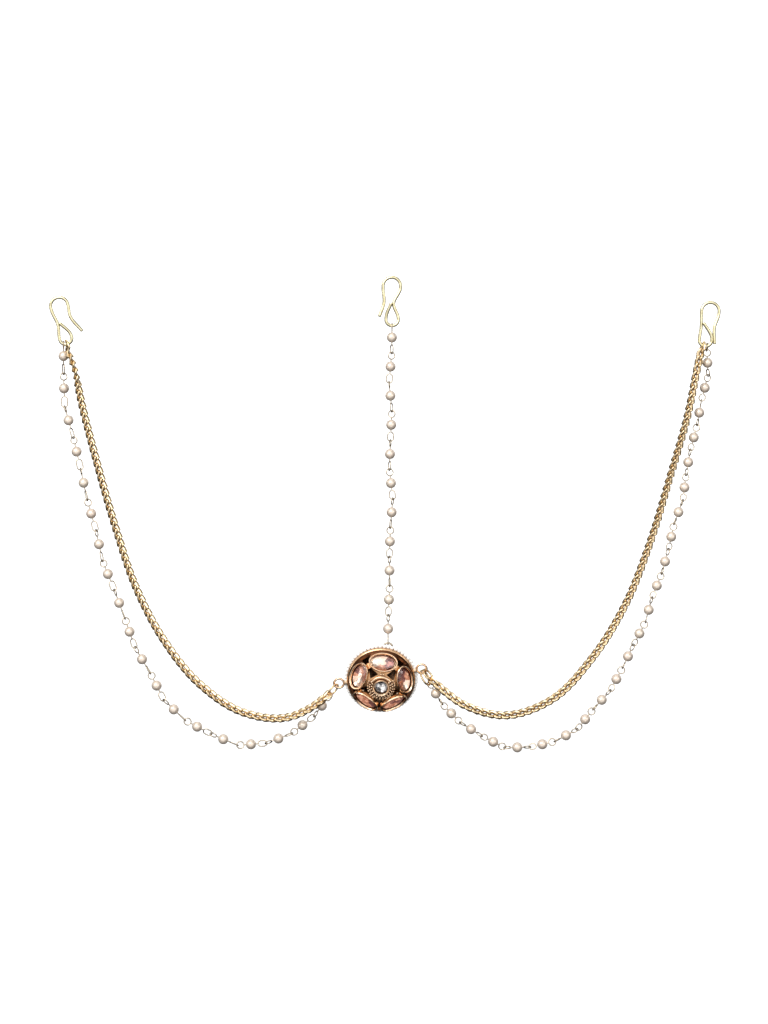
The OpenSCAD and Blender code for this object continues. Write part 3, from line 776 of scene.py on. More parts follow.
# %% [markdown]
# ## Loops on the rim
# Two flat loops, one at each side, carry the jump rings, and a small eye behind
# the top edge carries the crown string. All three are tori, and a bevelled tab
# ties each side loop to the rim.

# %% Side loops and back eye
LOOP_R, LOOP_WIRE, LOOP_Z = 1.9, 0.9, 0.05
TAB_L, TAB_W, TAB_T = 1.2, 1.6, 0.6
LEFT_AT, RIGHT_AT = 185, 16.5
LOOP_RING_R = RIM_R + TAB_L + LOOP_R


def wire_loop(name, radius, thickness, sides, place):
    start_fresh()
    bpy.ops.mesh.primitive_torus_add(major_segments=36, minor_segments=sides,
                                     major_radius=radius * MM, minor_radius=thickness / 2 * MM,
                                     location=place)
    return settle(name)


def smooth_all(piece, angle=50):
    start_fresh()
    piece.select_set(True)
    bpy.context.view_layer.objects.active = piece
    bpy.ops.object.shade_smooth_by_angle(angle=math.radians(angle))
    return piece


def side_loop(name, at):
    loop = wire_loop("loop", LOOP_R, LOOP_WIRE, 14, mm(LOOP_RING_R, 0, LOOP_Z))
    start_fresh()
    bpy.ops.mesh.primitive_cube_add(
        size=1, location=mm(RIM_R + (TAB_L - RIM_W / 2) / 2, 0, LOOP_Z))
    bpy.ops.transform.resize(value=mm(RIM_W / 2 + TAB_L, TAB_W, TAB_T))
    tab = settle("tab")
    edit(tab)
    bpy.ops.mesh.select_all(action="SELECT")
    bpy.ops.mesh.bevel(offset=0.14 * MM, segments=3, affect="EDGES")
    finish_edit(tab)
    piece = smooth_all(joined(name, [loop, tab]))
    piece.data.transform(around(at))
    return piece


left_loop = side_loop("left_loop", LEFT_AT)
right_loop = side_loop("right_loop", RIGHT_AT)
back_eye = smooth_all(wire_loop("back_eye", BACK_EYE_R, BACK_EYE_WIRE, 12,
                                mm(BACK_EYE_X, BACK_EYE_Y, BACK_EYE_Z)))
print("loop faces:", len(left_loop.data.polygons), "eye faces:", len(back_eye.data.polygons))

# %% [markdown]
# ## Joining the medallion's metal
# All soldered pieces become one object with its finishes side by side: rose
# gold on the rim, brighter gold where bezels and grains are rubbed, a darker
# brown gold on the dome's bars as painted shade between the bezels, and a
# near-black gold as painted shade near the rim, on the collar and in the cups.
# It stands for the medallion's solid. The plain back plate keeps its solid and
# gets a plating that is clean outside and darkened inside, painted shade where
# the dome closes over it.

# %% Medallion metal
# The dome's brown and the near-black gold on cup floors and collar are painted shade.
for piece, finish in (
        (rim, rose_gold), (dome, bar_gold), (cup_floors, shade_painted_gold), (collar, shade_painted_gold),
        (grains, lip_gold), (band, lip_gold), (milgrain, rose_gold), (bar_grains, lip_gold),
        (left_loop, lip_gold), (right_loop, lip_gold), (back_eye, wire_gold)):
    piece.data.materials.clear()
    piece.data.materials.append(finish)
# The dome's skin near the rim gets the near-black gold as well, painted shade next to the gaps.
dome.data.materials.append(shade_painted_gold)
for face in dome.data.polygons:
    face.material_index = int(face.center.xy.length > (OVAL_R + 0.9) * MM)
medallion = joined("medallion_metal", [
    rim, dome, oval_cups, centre_cup, cup_floors, collar, grains, band, milgrain, bar_grains,
    left_loop, right_loop, back_eye])
medallion.data.transform(FACE)
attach(medallion, "root")
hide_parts("medallion_frame")
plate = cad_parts["back_plate"]
plate.data.materials.clear()
# Its finish paints the inside, under the dome, dark as shade.
plate.data.materials.append(plate_gold)
print("medallion faces:", len(medallion.data.polygons))

# %% [markdown]
# ## Seed beads
# Round the rim, in its channel, lies a string of white seed beads. A seed bead
# is a short cut of glass tube, melted round: a fat torus, pulled nearly as long
# as it is wide. Fifty-five of them fill the channel.

# %% Seed beads
BEADS, TUBE_R, PULLED = 55, 0.4, 0.36
start_fresh()
bpy.ops.mesh.primitive_torus_add(major_segments=12, minor_segments=8, major_radius=TUBE_R * MM,
                                 minor_radius=(EDGING_D / 2 - TUBE_R) * MM,
                                 rotation=(math.radians(90), 0, 0))
bead_model = settle("bead")
edit(bead_model)
for side in (1, -1):
    pick_corners(bead_model, lambda corner: corner.y * side > 0.01 * MM)
    bpy.ops.transform.translate(value=mm(0, side * PULLED, 0))
finish_edit(bead_model, 60)
random.seed(11)
beads = copies("seed_beads", bead_model, [
    around(360 * i / BEADS + random.uniform(-0.3, 0.3)) @ shift(EDGING_R, 0, EDGING_Z)
    @ Matrix.Scale(random.uniform(0.95, 1.0), 4) for i in range(BEADS)])
discard(bead_model)
beads.data.transform(FACE)
beads.data.materials.append(seed_glass)
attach(beads, "root")
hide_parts("bead_edging")
print("seed beads:", BEADS, "faces:", len(beads.data.polygons))

# %% [markdown]
# ## Cut stones
# Five stones are oval and one is round. Each has a gently domed table, two
# rows of facets round it, a thin girdle, and a foiled back cut to a shallow
# keel. A cylinder is the rough. Its top is raised and made narrower in steps
# for the crown, and its underside in the same way for the keel. The under
# faces and the girdle get foil, and all others stay clear glass. Through the
# table a real stone shows two or three broad patches, bright, warm and dull.
# Here the foil's colour changes with the angle round the stone: the bright
# patches are a painted highlight, the dull ones painted shade, and the warm
# ones the stone's own tone. The glass bends light less than real glass, which
# keeps the patches broad.

# %% Cutting
CROWN_SHARES, CROWN_RISES = (0.9, 0.68, 0.5, 0.3, 0.12), (0.3, 0.25, 0.08, 0.05, 0.02)
GIRDLE, TABLE_ABOVE = (0.42, 0.6), 0.5
KEEL = ((0.62, 0.34), (0.45, 0.08))


def cut_stone(name, half_x, half_y, sides, glass, foils):
    """foils are (from this angle on, foil), counted in degrees from the stone's +X."""
    girdle_low, girdle_high = (CUP_LEVEL + SEAT_GAP + up for up in GIRDLE)
    start_fresh()
    bpy.ops.mesh.primitive_cylinder_add(
        vertices=sides, radius=1, depth=(girdle_high - girdle_low) * MM,
        location=mm(0, 0, (girdle_low + girdle_high) / 2))
    bpy.ops.transform.resize(value=(half_x * MM, half_y * MM, 1))
    stone = settle(name)
    edit(stone)
    pick_faces(stone, lambda centre, normal: normal.z > 0.9)
    for share, before, rise in zip(CROWN_SHARES, (1,) + CROWN_SHARES, CROWN_RISES):
        bpy.ops.mesh.extrude_region_move(TRANSFORM_OT_translate={"value": mm(0, 0, rise)})
        bpy.ops.transform.resize(value=(share / before,) * 2 + (1,), center_override=(0, 0, 0))
    pick_faces(stone, lambda centre, normal: normal.z < -0.9)
    for share, fall in KEEL:
        bpy.ops.mesh.extrude_region_move(TRANSFORM_OT_translate={"value": mm(0, 0, -fall)})
        bpy.ops.transform.resize(value=(share, share, 1), center_override=(0, 0, 0))
    bpy.ops.mesh.select_all(action="SELECT")
    bpy.ops.mesh.normals_make_consistent(inside=False)
    bpy.ops.object.mode_set(mode="OBJECT")
    tints = list(dict.fromkeys(tint for start, tint in foils))
    for material in [glass] + tints:
        stone.data.materials.append(material)
    for face in stone.data.polygons:
        face.use_smooth = face.normal.z > 0.9 and (
            face.center.z > (girdle_high + TABLE_ABOVE) * MM)
        if face.normal.z < 0.1:
            turn = math.degrees(math.atan2(face.center.y, face.center.x)) % 360
            tint = [tint for start, tint in foils if start <= turn][-1]
            face.material_index = 1 + tints.index(tint)
    return stone


# %% The six stones
# The bright foil paints highlight, the dull foil paints shade, and the warm foil is the stones'
# own tone.
bright, warm, dull = champagne_highlight_foil, russet_foil, mauve_foil
oval_foils = (
    ((0, bright), (130, warm), (215, dull), (340, bright)),
    ((0, warm), (33, bright), (150, warm), (300, dull), (345, warm)),
    ((0, warm), (75, dull), (140, warm)),
    ((0, warm), (20, dull), (80, warm)),
    ((0, warm), (67, dull), (190, warm), (257, bright), (337, warm)),
)
half_x, half_y = OVAL_W / 2 - 0.08, OVAL_L / 2 - 0.12
for k, foils in enumerate(oval_foils):
    stone = cut_stone("oval_cut_%d" % (k + 1), half_x, half_y, 16, champagne, foils)
    stone.data.transform(FACE @ seats[k])
    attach(stone, "root")
    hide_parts("oval_stone_%d" % (k + 1))
# The middle stone's silver sectors paint highlight and its grey ones paint shade.
middle_foils = ((0, clear_highlight_foil), (60, grey_foil), (120, clear_highlight_foil), (185, grey_foil),
                (275, clear_highlight_foil))
middle_r = CENTRE_D / 2 - 0.1
middle_stone = cut_stone("round_cut", middle_r, middle_r, 12, clear, middle_foils)
middle_stone.data.transform(FACE @ shift(0, 0, DOME_H))
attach(middle_stone, "root")
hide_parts("centre_stone")
print("faces of a stone:", len(stone.data.polygons))


# %% [markdown]
# ## Bending wire
# Hooks and eyes are bent from round wire. By hand one end face is extruded a
# short way, turned to the new direction, extruded again, and so on round the
# bend. All of these bends lie flat, so one turn about the Y axis at each step
# is enough. The turn is given backwards, because without a window the
# operator turns the other way.

# %% Bent wire
def bent_wire(name, path, thickness, sides=12, tip=0.0):
    """path is a list of points in millimetres in the XZ plane."""
    start_fresh()
    path = [Vector(p) for p in path]
    ways = [(b - a).normalized() for a, b in zip(path, path[1:])]
    slopes = [ways[0]] + [(a + b).normalized() for a, b in zip(ways, ways[1:])] + [ways[-1]]
    angles = [math.atan2(way.x, way.z) for way in slopes]
    bpy.ops.mesh.primitive_circle_add(
        vertices=sides, radius=thickness / 2 * MM, fill_type="NGON",
        location=path[0] * MM, rotation=(0, angles[0], 0))
    wire = settle(name)
    edit(wire)
    bpy.ops.mesh.select_all(action="SELECT")
    for i in range(1, len(path)):
        step = (path[i] - path[i - 1]) * MM
        bpy.ops.mesh.extrude_region_move(TRANSFORM_OT_translate={"value": step})
        turn = (angles[i] - angles[i - 1] + math.pi) % (2 * math.pi) - math.pi
        bpy.ops.transform.rotate(value=-turn, orient_axis="Y", center_override=path[i] * MM)
    if tip:
        ends = (path[0] * MM, path[-1] * MM)
        pick_faces(wire, lambda centre, normal: min(
            (centre - end).length for end in ends) < 0.02 * MM)
        bpy.ops.mesh.bevel(offset=tip * MM, segments=3, affect="EDGES")
    return finish_edit(wire, 50)


# %% [markdown]
# ## Smooth routes
# A chain hangs in a smooth curve. A few chosen points give each route, and a
# smooth curve through them is divided into equal lengths, one for each link or
# pin. These are the same points and the same rule as in the solids, so every
# link is in the place of its solid. In the left chain the links are turned a
# little differently about the route, to follow the photograph.

# %% Points of the routes
CROWN = [(x, 0, -share * DROP) for x, share in (
    (-0.6, 0.22), (-0.4, 0.363), (-0.7, 0.479), (0, 0.596), (-1.3, 0.712), (-0.9, 0.816))]
LEFT_CHAIN = [
    (-124.2, -1.5, -28.8), (-122.4, -2, -33.4), (-119.4, -1.6, -47.5), (-113.4, -1, -71),
    (-106.3, 0, -96), (-98.2, 0, -119.5), (-87.5, 0, -139.5), (-74, 0, -156), (-57, 0.4, -167),
    (-40, 0.6, -168.8), (-31, 1.2, -165)]
RIGHT_CHAIN = [
    (118.6, -1.4, -29), (117.4, -1.9, -34.2), (113.8, -1.6, -52), (107, -1, -76),
    (99.5, 0, -101), (90, 0, -125), (77, 0, -146), (61, -0.4, -162.2), (43.5, -0.8, -168),
    (27.9, -1.2, -164)]
LEFT_STRING = [
    (-127.1, 2.4, -32), (-126.8, 3, -41), (-124.6, 2, -55), (-119, 0.8, -76.5),
    (-113.6, 0.6, -100), (-106.3, 0.8, -122), (-97, 1.4, -145), (-84.9, 2.2, -165.4),
    (-66, 4, -177.4), (-54, 5, -180), (-41.5, 6, -177), (-32.2, 6, -170.2)]
RIGHT_STRING = [
    (121.7, 2.2, -36), (120.2, 2.6, -45), (116, 1.6, -61), (112.7, 0.8, -80),
    (107.5, 0.6, -100), (101.5, 0.6, -120), (94.2, 1, -139), (83.2, 1.4, -159),
    (67.5, 2, -175.8), (48, 2.6, -180.9), (30.5, 3, -174), (20.2, 3.2, -164.4)]
BACK = Vector((0, 1, 0))
print("points:", [len(points) for points in (
    CROWN, LEFT_CHAIN, RIGHT_CHAIN, LEFT_STRING, RIGHT_STRING)])


# %% Smooth curve and equal steps
def slope(p, i):
    """The direction of the curve at point i."""
    if i == 0:
        return (p[1] - p[0]).normalized()
    if i == len(p) - 1:
        return (p[i] - p[i - 1]).normalized()
    u, v = (p[i] - p[i - 1]).length, (p[i + 1] - p[i]).length
    return ((p[i] - p[i - 1]) * v / u + (p[i + 1] - p[i]) * u / v) / (u + v)


def smooth(points, step):
    p = [Vector(point) for point in points]
    out = []
    for i in range(len(p) - 1):
        span = (p[i + 1] - p[i]).length
        for k in range(math.ceil(span / step)):
            t = k / math.ceil(span / step)
            out.append((2 * t ** 3 - 3 * t * t + 1) * p[i]
                       + (t ** 3 - 2 * t * t + t) * span * slope(p, i)
                       + (3 * t * t - 2 * t ** 3) * p[i + 1]
                       + (t ** 3 - t * t) * span * slope(p, i + 1))
    return out + [p[-1]]


def lengths_along(p):
    run = [0.0]
    for a, b in zip(p, p[1:]):
        run.append(run[-1] + (b - a).length)
    return run


def spaced(p, n, drift=0.0):
    """n + 1 points at equal steps; a drift makes the first steps longer than the last."""
    run = lengths_along(p)
    out = []
    for j in range(n + 1):
        t = j / n
        want = run[-1] * (t + drift * t * (1 - t))
        i = max(k for k in range(len(p) - 1) if run[k] <= want + 1e-12)
        share = min(1, (want - run[i]) / (run[i + 1] - run[i]))
        out.append(p[i].lerp(p[i + 1], share))
    return out


def frame_at(a, b, roll=0.0):
    """A place between a and b with Z towards a, turned by roll about it."""
    z = (a - b).normalized()
    x = BACK.cross(z).normalized()
    y = z.cross(x)
    m = (a + b) / 2 * MM
    place = Matrix([(x[i], y[i], z[i], m[i]) for i in range(3)] + [(0, 0, 0, 1)])
    return place @ Matrix.Rotation(math.radians(roll), 4, "Z")


# %% [markdown]
# ## The hooks
# Each string ends in a hook of one bent wire: a rounded tip, a tall bend for
# the hair, and an eye whose wire comes back to the neck. The left and right
# hooks lean as the strings pull them. A finer step than in the solids makes
# the wire round.

# %% Hook shapes
HOOK_WIRE, BEND_IN, EYE_IN = 1.3, 2.75, 1.75
CROWN_ROW = dict(hang=(0, 0, 0), side=-1, lean=-1.7, tip=(4.5, -14.7), waist=(2.8, -9),
                 neck=(-0.9, -9.6), eye=(-0.5, -15.6), end_up=0.3, end_in=0.9)
LEFT_ROW = dict(hang=(-128.8, 0, -7.8), side=1, lean=15.4, tip=(6, -14.4), waist=(3, -7.2),
                neck=(-2.4, -10), eye=(-0.9, -15.3), end_up=0.8, end_in=0.9)
RIGHT_ROW = dict(hang=(122.8, 0, -9.7), side=1, lean=-5.1, tip=(2.8, -15.3), waist=(2.1, -8.8),
                 neck=(-3, -9.2), eye=(-0.9, -14), end_up=1.8, end_in=0.7)
BEND_R, EYE_R = BEND_IN + HOOK_WIRE / 2, EYE_IN + HOOK_WIRE / 2
EYE_Y, END_Y = -0.3, -1.15


def hook_at(row, p):
    x, a = row["side"] * p[0], math.radians(row["lean"])
    return Vector(row["hang"]) + Vector((x * math.cos(a) - p[2] * math.sin(a), p[1],
                                         x * math.sin(a) + p[2] * math.cos(a)))


def hook_points(row):
    keys = [(x, 0, z) for x, z in (row["tip"], row["waist"])]
    for a in range(-10, 191, 25):
        keys.append((BEND_R * math.cos(math.radians(a)), 0,
                     -BEND_IN + BEND_R * math.sin(math.radians(a))))
    keys.append((row["neck"][0], 0, row["neck"][1]))
    for a in range(170, 371, 25):
        keys.append((row["eye"][0] + EYE_R * math.cos(math.radians(a)), EYE_Y * (a - 170) / 200,
                     row["eye"][1] + EYE_R * math.sin(math.radians(a))))
    keys.append((row["neck"][0] + row["end_in"], END_Y, row["neck"][1] + row["end_up"]))
    return [hook_at(row, p) for p in smooth(keys, 0.9)]


# %% Hooks
for name, row in (("crown_hook", CROWN_ROW), ("left_hook", LEFT_ROW), ("right_hook", RIGHT_ROW)):
    hook = bent_wire(name + "_wire", hook_points(row), HOOK_WIRE, 16, 0.36)
    hook.data.materials.append(pale_gold)
    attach(hook, "root")
    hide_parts(name)
    print(name, "faces:", len(hook.data.polygons))

# %% [markdown]
# ## Where the wires hold each other
# A ring hangs in a loop with its wire against the loop's wire. From the loop's
# wire, the direction of the pull and the two thicknesses follow the places of
# the jump rings and the ends of every chain and string.

# %% Holders
def across(v, direction):
    """The part of v at a right angle to the direction, one long."""
    return (v - v.dot(direction) * direction).normalized()


def end_wire(holder, toward, wire):
    """A holder is a place on its wire, the way of the wire there, and its thickness."""
    place, way, thickness = holder
    return place + across(toward, way) * ((thickness + wire) / 2 + WIRE_GAP)


def face_point(x, y, z):
    return MEDALLION_AT + turned(x, y, z)


def on_eye(row, angle):
    a = math.radians(angle)
    eye = hook_at(row, (row["eye"][0], 0, row["eye"][1]))
    return (eye + EYE_R * Vector((math.sin(a), 0, -math.cos(a))),
            Vector((math.cos(a), 0, math.sin(a))), HOOK_WIRE)


RING_WIRE, RING_ROLL = 0.8, 68
LEFT_RING = dict(at=LEFT_AT, seat=-130, pull=Vector((-0.63, 0, -0.77)).normalized(), size=2.65)
RIGHT_RING = dict(at=RIGHT_AT, seat=-34, pull=Vector((0.65, 0, -0.76)).normalized(), size=2.65)
STRING_RING = dict(at=RIGHT_AT, seat=-95, pull=Vector((0.49, 0, -0.87)).normalized(), size=3.1)


def ring_near(row):
    at, a = math.radians(row["at"]), math.radians(row["seat"])
    place = face_point(LOOP_RING_R * math.cos(at) + LOOP_R * math.cos(a),
                       LOOP_RING_R * math.sin(at) + LOOP_R * math.sin(a), LOOP_Z)
    holder = (place, turned(-math.sin(a), math.cos(a), 0), LOOP_WIRE)
    return end_wire(holder, -row["pull"], RING_WIRE)


def on_ring(row, angle):
    a, roll = math.radians(angle), math.radians(RING_ROLL)
    side = math.cos(roll) * BACK.cross(-row["pull"]).normalized() + math.sin(roll) * BACK
    centre = ring_near(row) + row["size"] * row["pull"]
    return (centre + row["size"] * (math.cos(a) * row["pull"] + math.sin(a) * side),
            math.cos(a) * side - math.sin(a) * row["pull"], RING_WIRE)


# %% [markdown]
# ## Jump rings
# A jump ring is a turn of wire, cut from a coil and closed with pliers, so a
# fine cut stays visible. A disc is spun not quite all the way round, which
# leaves that cut, and each ring is carried to its place. The small ring under
# the right hook is made the same way from thinner wire.

# %% Jump rings
SPUN = 356


def cut_ring(name, radius, thickness, steps=40, sides=12, cut_at=0.0):
    start_fresh()
    bpy.ops.mesh.primitive_circle_add(vertices=sides, radius=thickness / 2 * MM,
                                      fill_type="NGON", location=mm(radius, 0, 0))
    ring = settle(name)
    edit(ring)
    bpy.ops.mesh.select_all(action="SELECT")
    bpy.ops.mesh.spin(steps=steps, angle=math.radians(SPUN), center=(0, 0, 0), axis=(0, 1, 0))
    finish_edit(ring, 50)
    ring.data.transform(Matrix.Rotation(math.radians(cut_at), 4, "Y"))
    return ring


for node, row, cut_at in (
        ("left_jump_ring", LEFT_RING, 20), ("right_jump_ring", RIGHT_RING, 160),
        ("right_string_ring", STRING_RING, 200)):
    near = ring_near(row)
    ring = cut_ring(node + "_wire", row["size"], RING_WIRE, cut_at=cut_at)
    ring.data.transform(frame_at(near, near + 2 * row["size"] * row["pull"], RING_ROLL))
    ring.data.materials.append(warm_gold)
    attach(ring, "root")
    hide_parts(node)
    print(node, "faces:", len(ring.data.polygons))

# %% Small ring under the right hook
TOP_WIRE, TOP_R, TOP_ROLL = 0.6, 1.55, 74
seat = on_eye(RIGHT_ROW, 27)
top_pull = (Vector(RIGHT_STRING[0]) - seat[0]).normalized()
top_near = end_wire(seat, -top_pull, TOP_WIRE)
top_far = top_near + 2 * TOP_R * top_pull
ring = cut_ring("right_top_ring_wire", TOP_R, TOP_WIRE, 32, 10, 150)
ring.data.transform(frame_at(top_near, top_far, TOP_ROLL))
ring.data.materials.append(wire_gold)
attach(ring, "root")
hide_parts("right_top_ring")
roll = math.radians(TOP_ROLL)
ON_TOP_RING = (top_far, math.cos(roll) * BACK.cross(-top_pull).normalized()
               + math.sin(roll) * BACK, TOP_WIRE)
print("small ring at", [round(v, 2) for v in top_near])


# %% Full routes
def joint_at(holder, free, wire):
    toward = (holder[0] - Vector(free)).normalized()
    return end_wire(holder, toward, wire) - toward * (wire + WIRE_GAP) / 2


def route(start, free, end, wire):
    return smooth([joint_at(start, free[0], wire)] + free + [joint_at(end, free[-1], wire)], 2)


LINK_WIRE, PIN_WIRE = 0.8, 0.5
crown_eye = (face_point(BACK_EYE_X, BACK_EYE_Y + BACK_EYE_R, BACK_EYE_Z), Vector((1, 0, 0)),
             BACK_EYE_WIRE)
left_chain_path = route(on_eye(LEFT_ROW, 10), LEFT_CHAIN, on_ring(LEFT_RING, -26), LINK_WIRE)
right_chain_path = route(on_eye(RIGHT_ROW, -33), RIGHT_CHAIN, on_ring(RIGHT_RING, -26), LINK_WIRE)
left_string_path = route(on_eye(LEFT_ROW, -34), LEFT_STRING, on_ring(LEFT_RING, 24), PIN_WIRE)
right_string_path = route(ON_TOP_RING, RIGHT_STRING, on_ring(STRING_RING, 24), PIN_WIRE)
crown_path = route(on_eye(CROWN_ROW, 0), CROWN, crown_eye, PIN_WIRE)
print("routes in mm:", [round(lengths_along(p)[-1], 1) for p in (
    left_chain_path, right_chain_path, left_string_path, right_string_path, crown_path)])

# %% [markdown]
# ## Curb chains
# A curb chain is a row of oval links, each twisted until it lies flat against
# the next. A torus is the closed ring of wire, made wider than high because
# the machine files the sides flat and broad. Its two halves are pulled apart
# to an oval, and a twist turns one end out of the flat, which is exactly what
# the chain machine does. The end links are wider and twist less, because they
# hold a round eye or a ring.

# %% One link
LINK_PITCH, LINK_TWIST = 2.9, 55
LINK_SHOWN, LINK_HALF_W, FLATTEN, FILED = 1.0, 0.94, 1.62, 1.1
FIRST_HALF_W, LAST_HALF_W = (HOOK_WIRE + LINK_WIRE) / 2 + 0.45, LINK_HALF_W + 0.15


def curb_link(half, half_w, top, bottom):
    """half and half_w are the half length and half width of the wire's centre line, top
    and bottom the angles of its two ends."""
    start_fresh()
    bpy.ops.mesh.primitive_torus_add(
        major_segments=24, minor_segments=8, major_radius=half_w / FLATTEN * MM,
        minor_radius=LINK_SHOWN / 2 * MM, rotation=(math.radians(90), 0, 0))
    bpy.ops.transform.resize(value=(FLATTEN, FILED, 1))
    link = settle("link")
    edit(link)
    for side in (1, -1):
        pick_corners(link, lambda corner: corner.z * side > 0.02 * MM)
        bpy.ops.transform.translate(value=mm(0, 0, side * (half - half_w / FLATTEN)))
    finish_edit(link, 60)
    modified(link, "SIMPLE_DEFORM", deform_method="TWIST", deform_axis="Z",
             angle=math.radians(top - bottom) * (half + LINK_SHOWN / 2) / half)
    link.data.transform(around((top + bottom) / 2))
    return link


# %% Laying the chains
def lookup(x, table):
    for (x0, y0), (x1, y1) in zip(table, table[1:]):
        if x <= x1:
            return y0 + (y1 - y0) * (x - x0) / (x1 - x0)
    return table[-1][1]


def curb_chain(name, path, rolls):
    count = round(lengths_along(path)[-1] / LINK_PITCH)
    joints = spaced(path, count)
    halves = [((a - b).length + LINK_WIRE + WIRE_GAP) / 2 for a, b in zip(joints, joints[1:])]
    half = halves[0]
    first = curb_link(half, FIRST_HALF_W, -90, lookup(0, rolls) - LINK_TWIST)
    middle = curb_link(half, LINK_HALF_W, LINK_TWIST, -LINK_TWIST)
    last = curb_link(half, LAST_HALF_W, lookup(1, rolls) + LINK_TWIST, 90 - RING_ROLL)
    places = []
    for i in range(count):
        roll = lookup(i / (count - 1), rolls) if 0 < i < count - 1 else 0
        places.append(frame_at(joints[i], joints[i + 1], roll)
                      @ Matrix.Diagonal((1, 1, halves[i] / half, 1)))
    chain = joined(name, [copies("first", first, places[:1]),
                          copies("middle", middle, places[1:-1]),
                          copies("last", last, places[-1:])])
    discard(first, middle, last)
    chain.data.materials.append(warm_gold)
    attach(chain, "root")
    print(name, "links:", count, "faces:", len(chain.data.polygons))
    return chain


LEFT_ROLLS = [(0, 0), (0.015, 80), (0.055, 90), (0.09, 45), (0.25, 38), (0.45, 45), (0.6, 30),
              (0.75, 20), (1, 15)]
RIGHT_ROLLS = [(0, 0), (0.08, 32), (0.25, 45), (0.5, 30), (0.7, 5), (1, 10)]
left_chain = curb_chain("left_curb_chain", left_chain_path, LEFT_ROLLS)
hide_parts("left_chain")
right_chain = curb_chain("right_curb_chain", right_chain_path, RIGHT_ROLLS)
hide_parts("right_chain")

# %% [markdown]
# ## Pearl strings
# Every pearl rides on a pin of fine wire with a round eye above and a long eye
# below, and each eye holds the next one. The eyes are turned against each
# other by about a quarter, and the string sways a little from side to side.
# Pearl, round eye, long eye and stem are modelled once each, and a long eye is
# pulled longer where its pin has room.

# %% One pearl
PEARL_D, BORE_D, PEARL_RINGS = 4.0, 0.75, 14
start_fresh()
bpy.ops.mesh.primitive_uv_sphere_add(segments=24, ring_count=PEARL_RINGS,
                                     radius=PEARL_D / 2 * MM)
pearl_model = bpy.context.object
edit(pearl_model)
pick_corners(pearl_model, lambda corner: abs(corner.z) > 0.999 * PEARL_D / 2 * MM)
bpy.ops.mesh.delete(type="VERT")
bpy.ops.mesh.select_mode(type="EDGE")
bpy.ops.mesh.select_all(action="DESELECT")
bpy.ops.mesh.select_non_manifold()
hole = PEARL_D / 2 * math.sin(math.pi / PEARL_RINGS)
bpy.ops.transform.resize(value=(BORE_D / 2 / hole,) * 2 + (1,), center_override=(0, 0, 0))
bpy.ops.mesh.bridge_edge_loops()
finish_edit(pearl_model, 50)
print("pearl faces:", len(pearl_model.data.polygons))

# %% Eyes and stem of a pin
UPPER_R, LOWER_R, LEG, LEG_SHARE = 1.35, 1.15, 0.9, 0.55
upper_model = cut_ring("round_eye", UPPER_R, PIN_WIRE, 30, 8, 93)
path = []
for leg, angles in ((LEG, range(90, -1, -15)), (0, range(0, -181, -15)),
                    (LEG, range(180, 104, -15))):
    for a in angles:
        path.append((LOWER_R * math.cos(math.radians(a)), 0,
                     leg + LOWER_R * math.sin(math.radians(a))))
lower_model = bent_wire("long_eye", path, PIN_WIRE, 8)
start_fresh()
bpy.ops.mesh.primitive_cylinder_add(vertices=8, radius=PIN_WIRE / 2 * MM, depth=MM)
stem_model = bpy.context.object
edit(stem_model)
pick_faces(stem_model, lambda centre, normal: abs(normal.z) > 0.9)
bpy.ops.mesh.inset(thickness=0.06 * MM)
finish_edit(stem_model, 50)
print("pin faces:", [len(m.data.polygons) for m in (upper_model, lower_model, stem_model)])


# %% Joints of a string
SWAY, SWAY_BACK, TURN_SWING = 0.5, 0.6, 25
SIDE_STEP, BACK_STEP, BACK_FIRST = 137.5, 97, 40


def string_joints(path, n, drift):
    """Where each two pins hold each other: equal steps, with a little sway."""
    q = spaced(path, n, drift)
    out = [q[0]]
    for j in range(1, n):
        side = BACK.cross(q[j - 1] - q[j + 1]).normalized()
        out.append(q[j] + SWAY * (
            math.sin(math.radians(SIDE_STEP * j)) * side
            + SWAY_BACK * math.sin(math.radians(BACK_STEP * j + BACK_FIRST)) * BACK))
    return out + [q[n]]


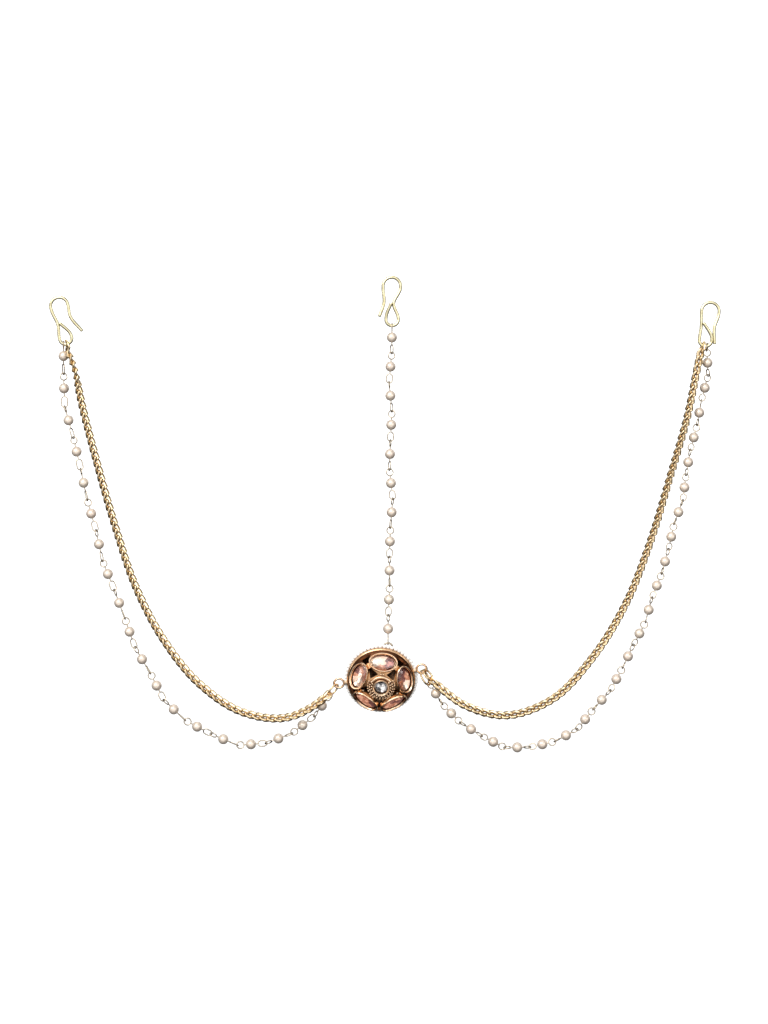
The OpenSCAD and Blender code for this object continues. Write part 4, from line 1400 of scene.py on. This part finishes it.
def joint_turn(j):
    return 90 * (j % 2) + TURN_SWING * math.sin(math.radians(BACK_STEP * j))


# %% Stringing
def pearl_string(name, path, n, first_turn, last_turn, drift=0.0):
    q = string_joints(path, n, drift)
    uppers, lowers, stems, pearls, legs = [], [], [], [], []
    for i in range(n):
        span = (q[i] - q[i + 1]).length + PIN_WIRE + WIRE_GAP
        room = span - 2 * UPPER_R - 2 * LOWER_R - PEARL_D - 2 * (PIN_WIRE / 2 + SEAT_GAP)
        leg = LEG_SHARE * room
        base = frame_at(q[i], q[i + 1])
        top = first_turn if i == 0 else joint_turn(i) + 90
        bottom = last_turn if i == n - 1 else joint_turn(i + 1)
        neck_top, neck_low = span / 2 - 2 * UPPER_R, -span / 2 + 2 * LOWER_R + leg
        uppers.append(base @ around(top) @ shift(0, 0, span / 2 - UPPER_R))
        lowers.append(base @ around(bottom) @ shift(0, 0, -span / 2 + LOWER_R))
        stems.append(base @ shift(0, 0, (neck_top + neck_low) / 2)
                     @ Matrix.Diagonal((1, 1, neck_top - neck_low, 1)))
        pearls.append(base @ shift(0, 0, LOWER_R + leg / 2 - UPPER_R))
        legs.append(leg - LEG)

    def longer(mesh, number):
        for corner in mesh.vertices:
            if corner.co.z > LEG * MM / 2:
                corner.co.z += legs[number] * MM

    pins = joined(name + "_pin_wires", [
        copies("uppers", upper_model, uppers),
        copies("lowers", lower_model, lowers, longer),
        copies("stems", stem_model, stems)])
    pins.data.materials.append(wire_gold)
    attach(pins, "root")
    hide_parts(name + "_pins")
    beads = copies(name + "_pearl_beads", pearl_model, pearls)
    beads.data.materials.append(pearl_skin)
    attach(beads, "root")
    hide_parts(name + "_pearls")
    print(name, "pearls:", n, "faces:", len(pins.data.polygons), len(beads.data.polygons))


pearl_string("crown", crown_path, 11, 90, 90)
pearl_string("left", left_string_path, 19, 90, 90 - RING_ROLL, 0.09)
pearl_string("right", right_string_path, 23, TOP_ROLL - 90, 90 - RING_ROLL)
discard(pearl_model, upper_model, lower_model, stem_model)
